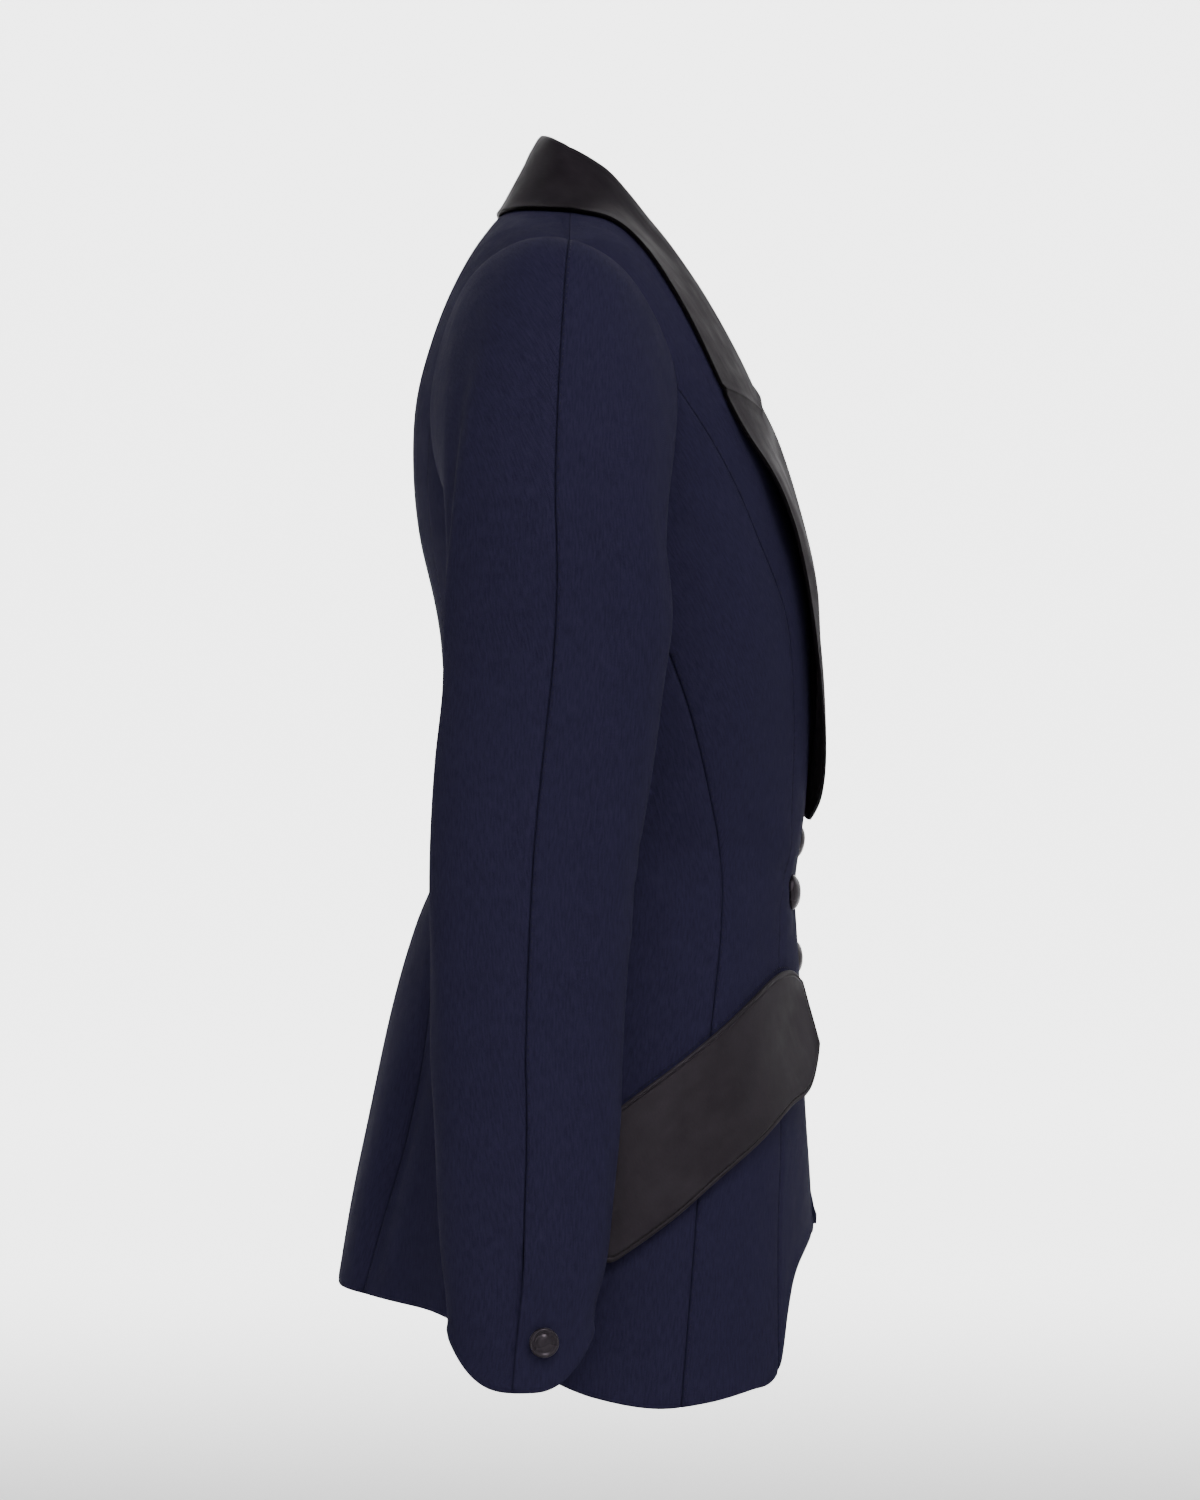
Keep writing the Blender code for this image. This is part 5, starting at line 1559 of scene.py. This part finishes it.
class BlazerLook(bpy.types.PropertyGroup):
    """Colours and fine sizes of the blazer's cloth."""

    wool_light: FloatVectorProperty(
        name="Wool light", description="Lighter threads of the navy wool", subtype="COLOR",
        size=3, default=(0.0202, 0.0180, 0.0415))
    wool_dark: FloatVectorProperty(
        name="Wool dark", description="Darker threads of the navy wool", subtype="COLOR",
        size=3, default=(0.0120, 0.0108, 0.0270))
    # Colour of the painted shade in the wool's seam grooves and along its edges; also the darker
    # twist of the navy thread.
    wool_groove_shade: FloatVectorProperty(
        name="Wool seam", description="Wool in the groove of a seam", subtype="COLOR",
        size=3, default=(0.0050, 0.0050, 0.0130))
    wool_relief: FloatProperty(
        name="Wool relief", description="Height of the wool's weave", unit="LENGTH",
        precision=5, default=0.00010)
    twill_pitch: FloatProperty(
        name="Twill pitch", description="Distance between two ribs of the twill", unit="LENGTH",
        precision=5, default=0.00070)
    # Width over which the wool's painted seam shade fades out.
    seam_shade: FloatProperty(
        name="Seam shade", description="Width of the dark groove of a seam", unit="LENGTH",
        precision=5, default=0.0013)
    satin_light: FloatVectorProperty(
        name="Satin light", description="Lighter threads of the satin", subtype="COLOR",
        size=3, default=(0.0172, 0.0144, 0.0176))
    satin_dark: FloatVectorProperty(
        name="Satin dark", description="Darker threads of the satin", subtype="COLOR",
        size=3, default=(0.0095, 0.0076, 0.0098))
    # Colour of the painted shade in the satin's seam grooves, along its edges and its stitching;
    # also the darker twist of the black thread.
    satin_groove_shade: FloatVectorProperty(
        name="Satin seam", description="Satin in the groove of a seam", subtype="COLOR",
        size=3, default=(0.0015, 0.0012, 0.0015))
    # Width over which the satin's painted seam shade fades out.
    satin_seam_shade: FloatProperty(
        name="Satin seam shade", description="Width of the dark groove of a satin seam",
        unit="LENGTH", precision=5, default=0.0018)
    satin_relief: FloatProperty(
        name="Satin relief", description="Height of the satin's soft unevenness", unit="LENGTH",
        precision=5, default=0.00035)
    thread: FloatVectorProperty(
        name="Thread", description="Topstitching thread on the wool", subtype="COLOR",
        size=3, default=(0.0090, 0.0085, 0.0220))


class BlazerStudio(bpy.types.PropertyGroup):
    """Camera and floor."""

    distance: FloatProperty(
        name="Distance", description="Camera's distance from the centre plane", unit="LENGTH",
        default=3.10)
    height: FloatProperty(
        name="Height", description="Camera's height", unit="LENGTH", default=-0.332)
    lens: FloatProperty(
        name="Lens", description="Focal length on a 36 mm frame", default=120.0)
    floor: FloatProperty(
        name="Floor", description="Height of the floor", unit="LENGTH", default=-1.0)


class BLAZER_OT_body(bpy.types.Operator):
    """Make the seven panels of the body"""

    bl_idname = "blazer.body"
    bl_label = "Body panels"

    def execute(self, context):
        princess, side, back = seam_places()
        outer_side = np.concatenate((princess, armhole_run(FRONT_NOTCH, 0)[1:]))
        edge = front_edge_run()
        bottom = hem_run(outer_side[0], edge[0], SHOULDER_COLUMNS * FINE)
        front = between(bottom, shoulder_run(front=True), outer_side, edge)
        side_panels = (
            ("side_front", princess, side, armhole_run(FRONT_NOTCH, SIDE_SEAM_NOTCH)),
            ("side_back", side, back, armhole_run(SIDE_SEAM_NOTCH, BACK_NOTCH)),
        )
        for end, lift, mirrored in (("_right", right_lift, False), ("_left", left_lift, True)):
            make_panel("front" + end, front, lift, mirrored, ("first column", "last row"),
                       ("first row", "last column"))
            for name, left, right, top in side_panels:
                hem = hem_run(left[0], right[0], len(top) - 1)
                make_panel(name + end, between(hem, top, left, right), lift, mirrored,
                           ("first column", "last column", "last row"), ("first row",))
        self.make_back(back)
        return {"FINISHED"}

    def make_back(self, back):
        """The back, in one panel from princess seam to princess seam."""
        outer_side = np.concatenate((back, armhole_run(BACK_NOTCH, len(ARMHOLE))[1:]))
        neck = back_neck_place(np.linspace(0, 1, BACK_NECK_COLUMNS * FINE + 1))
        top = np.concatenate((shoulder_run(front=False), neck[1:]))
        centre_bottom = hem_place(lambda v: np.full(v.shape, math.pi))
        v = np.linspace(centre_bottom[1], neck[-1][1], len(outer_side))
        centre = placed(math.pi, v)
        bottom = hem_run(outer_side[0], centre[0], len(top) - 1)
        half = between(bottom, top, outer_side, centre)
        other = half[:, -2::-1].copy()
        other[..., 0] = 2 * math.pi - other[..., 0]
        make_panel("back", np.concatenate((half, other), axis=1), no_lift, False,
                   ("first column", "last column", "last row"), ("first row",))


class BLAZER_OT_sleeves(bpy.types.Operator):
    """Make both two-piece sleeves"""

    bl_idname = "blazer.sleeves"
    bl_label = "Sleeves"

    def execute(self, context):
        make_sleeve("right", SLEEVE_CREASES_RIGHT, mirrored=False)
        make_sleeve("left", SLEEVE_CREASES_LEFT, mirrored=True)
        return {"FINISHED"}


class BLAZER_OT_collar(bpy.types.Operator):
    """Make the satin collar and lapels"""

    bl_idname = "blazer.collar"
    bl_label = "Collar and lapels"

    def execute(self, context):
        make_shawl()
        return {"FINISHED"}


class BLAZER_OT_flaps(bpy.types.Operator):
    """Make the slanted satin hip flaps"""

    bl_idname = "blazer.flaps"
    bl_label = "Hip flaps"

    def execute(self, context):
        make_flaps()
        return {"FINISHED"}


class BLAZER_OT_buttons(bpy.types.Operator):
    """Make the covered buttons of the front and the cuffs"""

    bl_idname = "blazer.buttons"
    bl_label = "Buttons"

    def execute(self, context):
        make_front_buttons()
        make_cuff_buttons()
        return {"FINISHED"}


class BLAZER_OT_stitches(bpy.types.Operator):
    """Sew the fine topstitching of the seams and flaps"""

    bl_idname = "blazer.stitches"
    bl_label = "Stitching"

    def execute(self, context):
        look = context.scene.blazer_look
        navy = thread_finish("navy thread", look.thread, look.wool_groove_shade)
        black = thread_finish("black thread", look.satin_dark, look.satin_groove_shade)
        for end in ("_right", "_left"):
            sew("seam_stitches" + end, (
                ("front" + end, "first column", 1.0),
                ("side_front" + end, "last column", 1.0),
                ("side_back" + end, "last column", 1.0),
                ("sleeve_front" + end, "first column", SLEEVE_STITCH_END),
            ), SEAM_STITCH, navy)
            sew("flap_stitches" + end,
                [("flap" + end, side, 1.0) for side in ("last row", "last column", "first column")],
                SATIN_STITCH, black)
            sew_over_flap(end, navy)
        return {"FINISHED"}


class BLAZER_OT_stage(bpy.types.Operator):
    """Make the pale floor that curves up all round, the lights and the camera"""

    bl_idname = "blazer.stage"
    bl_label = "Stage"

    def execute(self, context):
        studio = context.scene.blazer_studio
        self.make_floor(studio.floor)
        self.make_lights()
        self.make_camera(studio)
        return {"FINISHED"}

    def make_floor(self, height):
        """A round floor with a soft bend up into a wall, turned about the Z axis."""
        profile = [(0.0, height), (FLOOR_FLAT, height)]
        for step in range(1, FLOOR_BEND_STEPS + 1):
            turn = math.pi / 2 * step / FLOOR_BEND_STEPS
            profile.append((FLOOR_FLAT + FLOOR_BEND * math.sin(turn),
                            height + FLOOR_BEND * (1 - math.cos(turn))))
        profile.append((FLOOR_FLAT + FLOOR_BEND, WALL_TOP))
        floor, _ = add_turned("studio_floor", profile, FLOOR_STEPS, self.make_paper())

    def make_paper(self):
        """Pale studio paper that glows behind the coat."""
        paper = Finish("studio paper", Roughness=0.9, Specular_IOR_Level=0.1,
                       Emission_Strength=GLOW)
        place = paper.object_place()
        x, y, _ = paper.parts(place)
        behind = paper.ranged(x, *GLOW_RUN_X, 0.0, 1.0)
        middle = paper.ranged(paper.maths("ABSOLUTE", y), *GLOW_RUN_Y, 1.0, 0.0)
        paper.feed(paper.shader.inputs["Base Color"], paper.mixed(
            paper.noise(place, PAPER_GRAIN), grey(PAPER_DARK), grey(PAPER_LIGHT)))
        paper.feed(paper.shader.inputs["Emission Color"], paper.mixed(
            behind * middle, grey(GLOW_LEAST), grey(1.0)))
        return paper.material

    def make_lights(self):
        """A pale surround and the wide soft lamps."""
        world = bpy.data.worlds.new("studio")
        world.use_nodes = True
        background = world.node_tree.nodes["Background"]
        background.inputs["Color"].default_value = grey(1.0)
        background.inputs["Strength"].default_value = SURROUND
        bpy.context.scene.world = world
        for lamp in LAMPS:
            light = bpy.data.lights.new(lamp.name, "AREA")
            light.shape = "DISK"
            light.size = lamp.size
            light.energy = lamp.power
            made = bpy.data.objects.new(lamp.name, light)
            made.location = lamp.place
            aim = Vector(LAMP_TARGET) - made.location
            made.rotation_euler = aim.to_track_quat("-Z", "Y").to_euler()
            bpy.context.scene.collection.objects.link(made)

    def make_camera(self, studio):
        """Level with the middle of the coat, square to the wearer's right side."""
        camera = bpy.data.objects.new("camera", bpy.data.cameras.new("camera"))
        camera.data.lens = studio.lens
        camera.data.sensor_width = FRAME_WIDTH
        camera.location = (-studio.distance, 0.0, studio.height)
        camera.rotation_euler = Vector((1.0, 0.0, 0.0)).to_track_quat("-Z", "Y").to_euler()
        bpy.context.scene.collection.objects.link(camera)
        bpy.context.scene.camera = camera


class BLAZER_PT_panel(bpy.types.Panel):
    """Lists the blazer's pieces and its colours"""

    bl_label = "Tuxedo Blazer"
    bl_idname = "BLAZER_PT_panel"
    bl_space_type = "VIEW_3D"
    bl_region_type = "UI"
    bl_category = "Blazer"

    def draw(self, context):
        for operator in OPERATORS:
            self.layout.operator(operator.bl_idname)
        for group in (context.scene.blazer_look, context.scene.blazer_studio):
            column = self.layout.column()
            for name in group.bl_rna.properties.keys():
                if name not in ("rna_type", "name"):
                    column.prop(group, name)


OPERATORS = (BLAZER_OT_body, BLAZER_OT_sleeves, BLAZER_OT_collar, BLAZER_OT_flaps,
             BLAZER_OT_buttons, BLAZER_OT_stitches, BLAZER_OT_stage)
CLASSES = (BlazerLook, BlazerStudio) + OPERATORS + (BLAZER_PT_panel,)


def register():
    """Add the classes and the scene's properties."""
    for made in CLASSES:
        bpy.utils.register_class(made)
    bpy.types.Scene.blazer_look = PointerProperty(type=BlazerLook)
    bpy.types.Scene.blazer_studio = PointerProperty(type=BlazerStudio)


def unregister():
    """Take the classes and the scene's properties away."""
    del bpy.types.Scene.blazer_studio
    del bpy.types.Scene.blazer_look
    for made in reversed(CLASSES):
        bpy.utils.unregister_class(made)


def main():
    """Build every piece in order."""
    register()
    bpy.ops.blazer.body()
    bpy.ops.blazer.sleeves()
    bpy.ops.blazer.collar()
    bpy.ops.blazer.flaps()
    bpy.ops.blazer.buttons()
    bpy.ops.blazer.stitches()
    bpy.ops.blazer.stage()


if __name__ == "__main__":
    main()
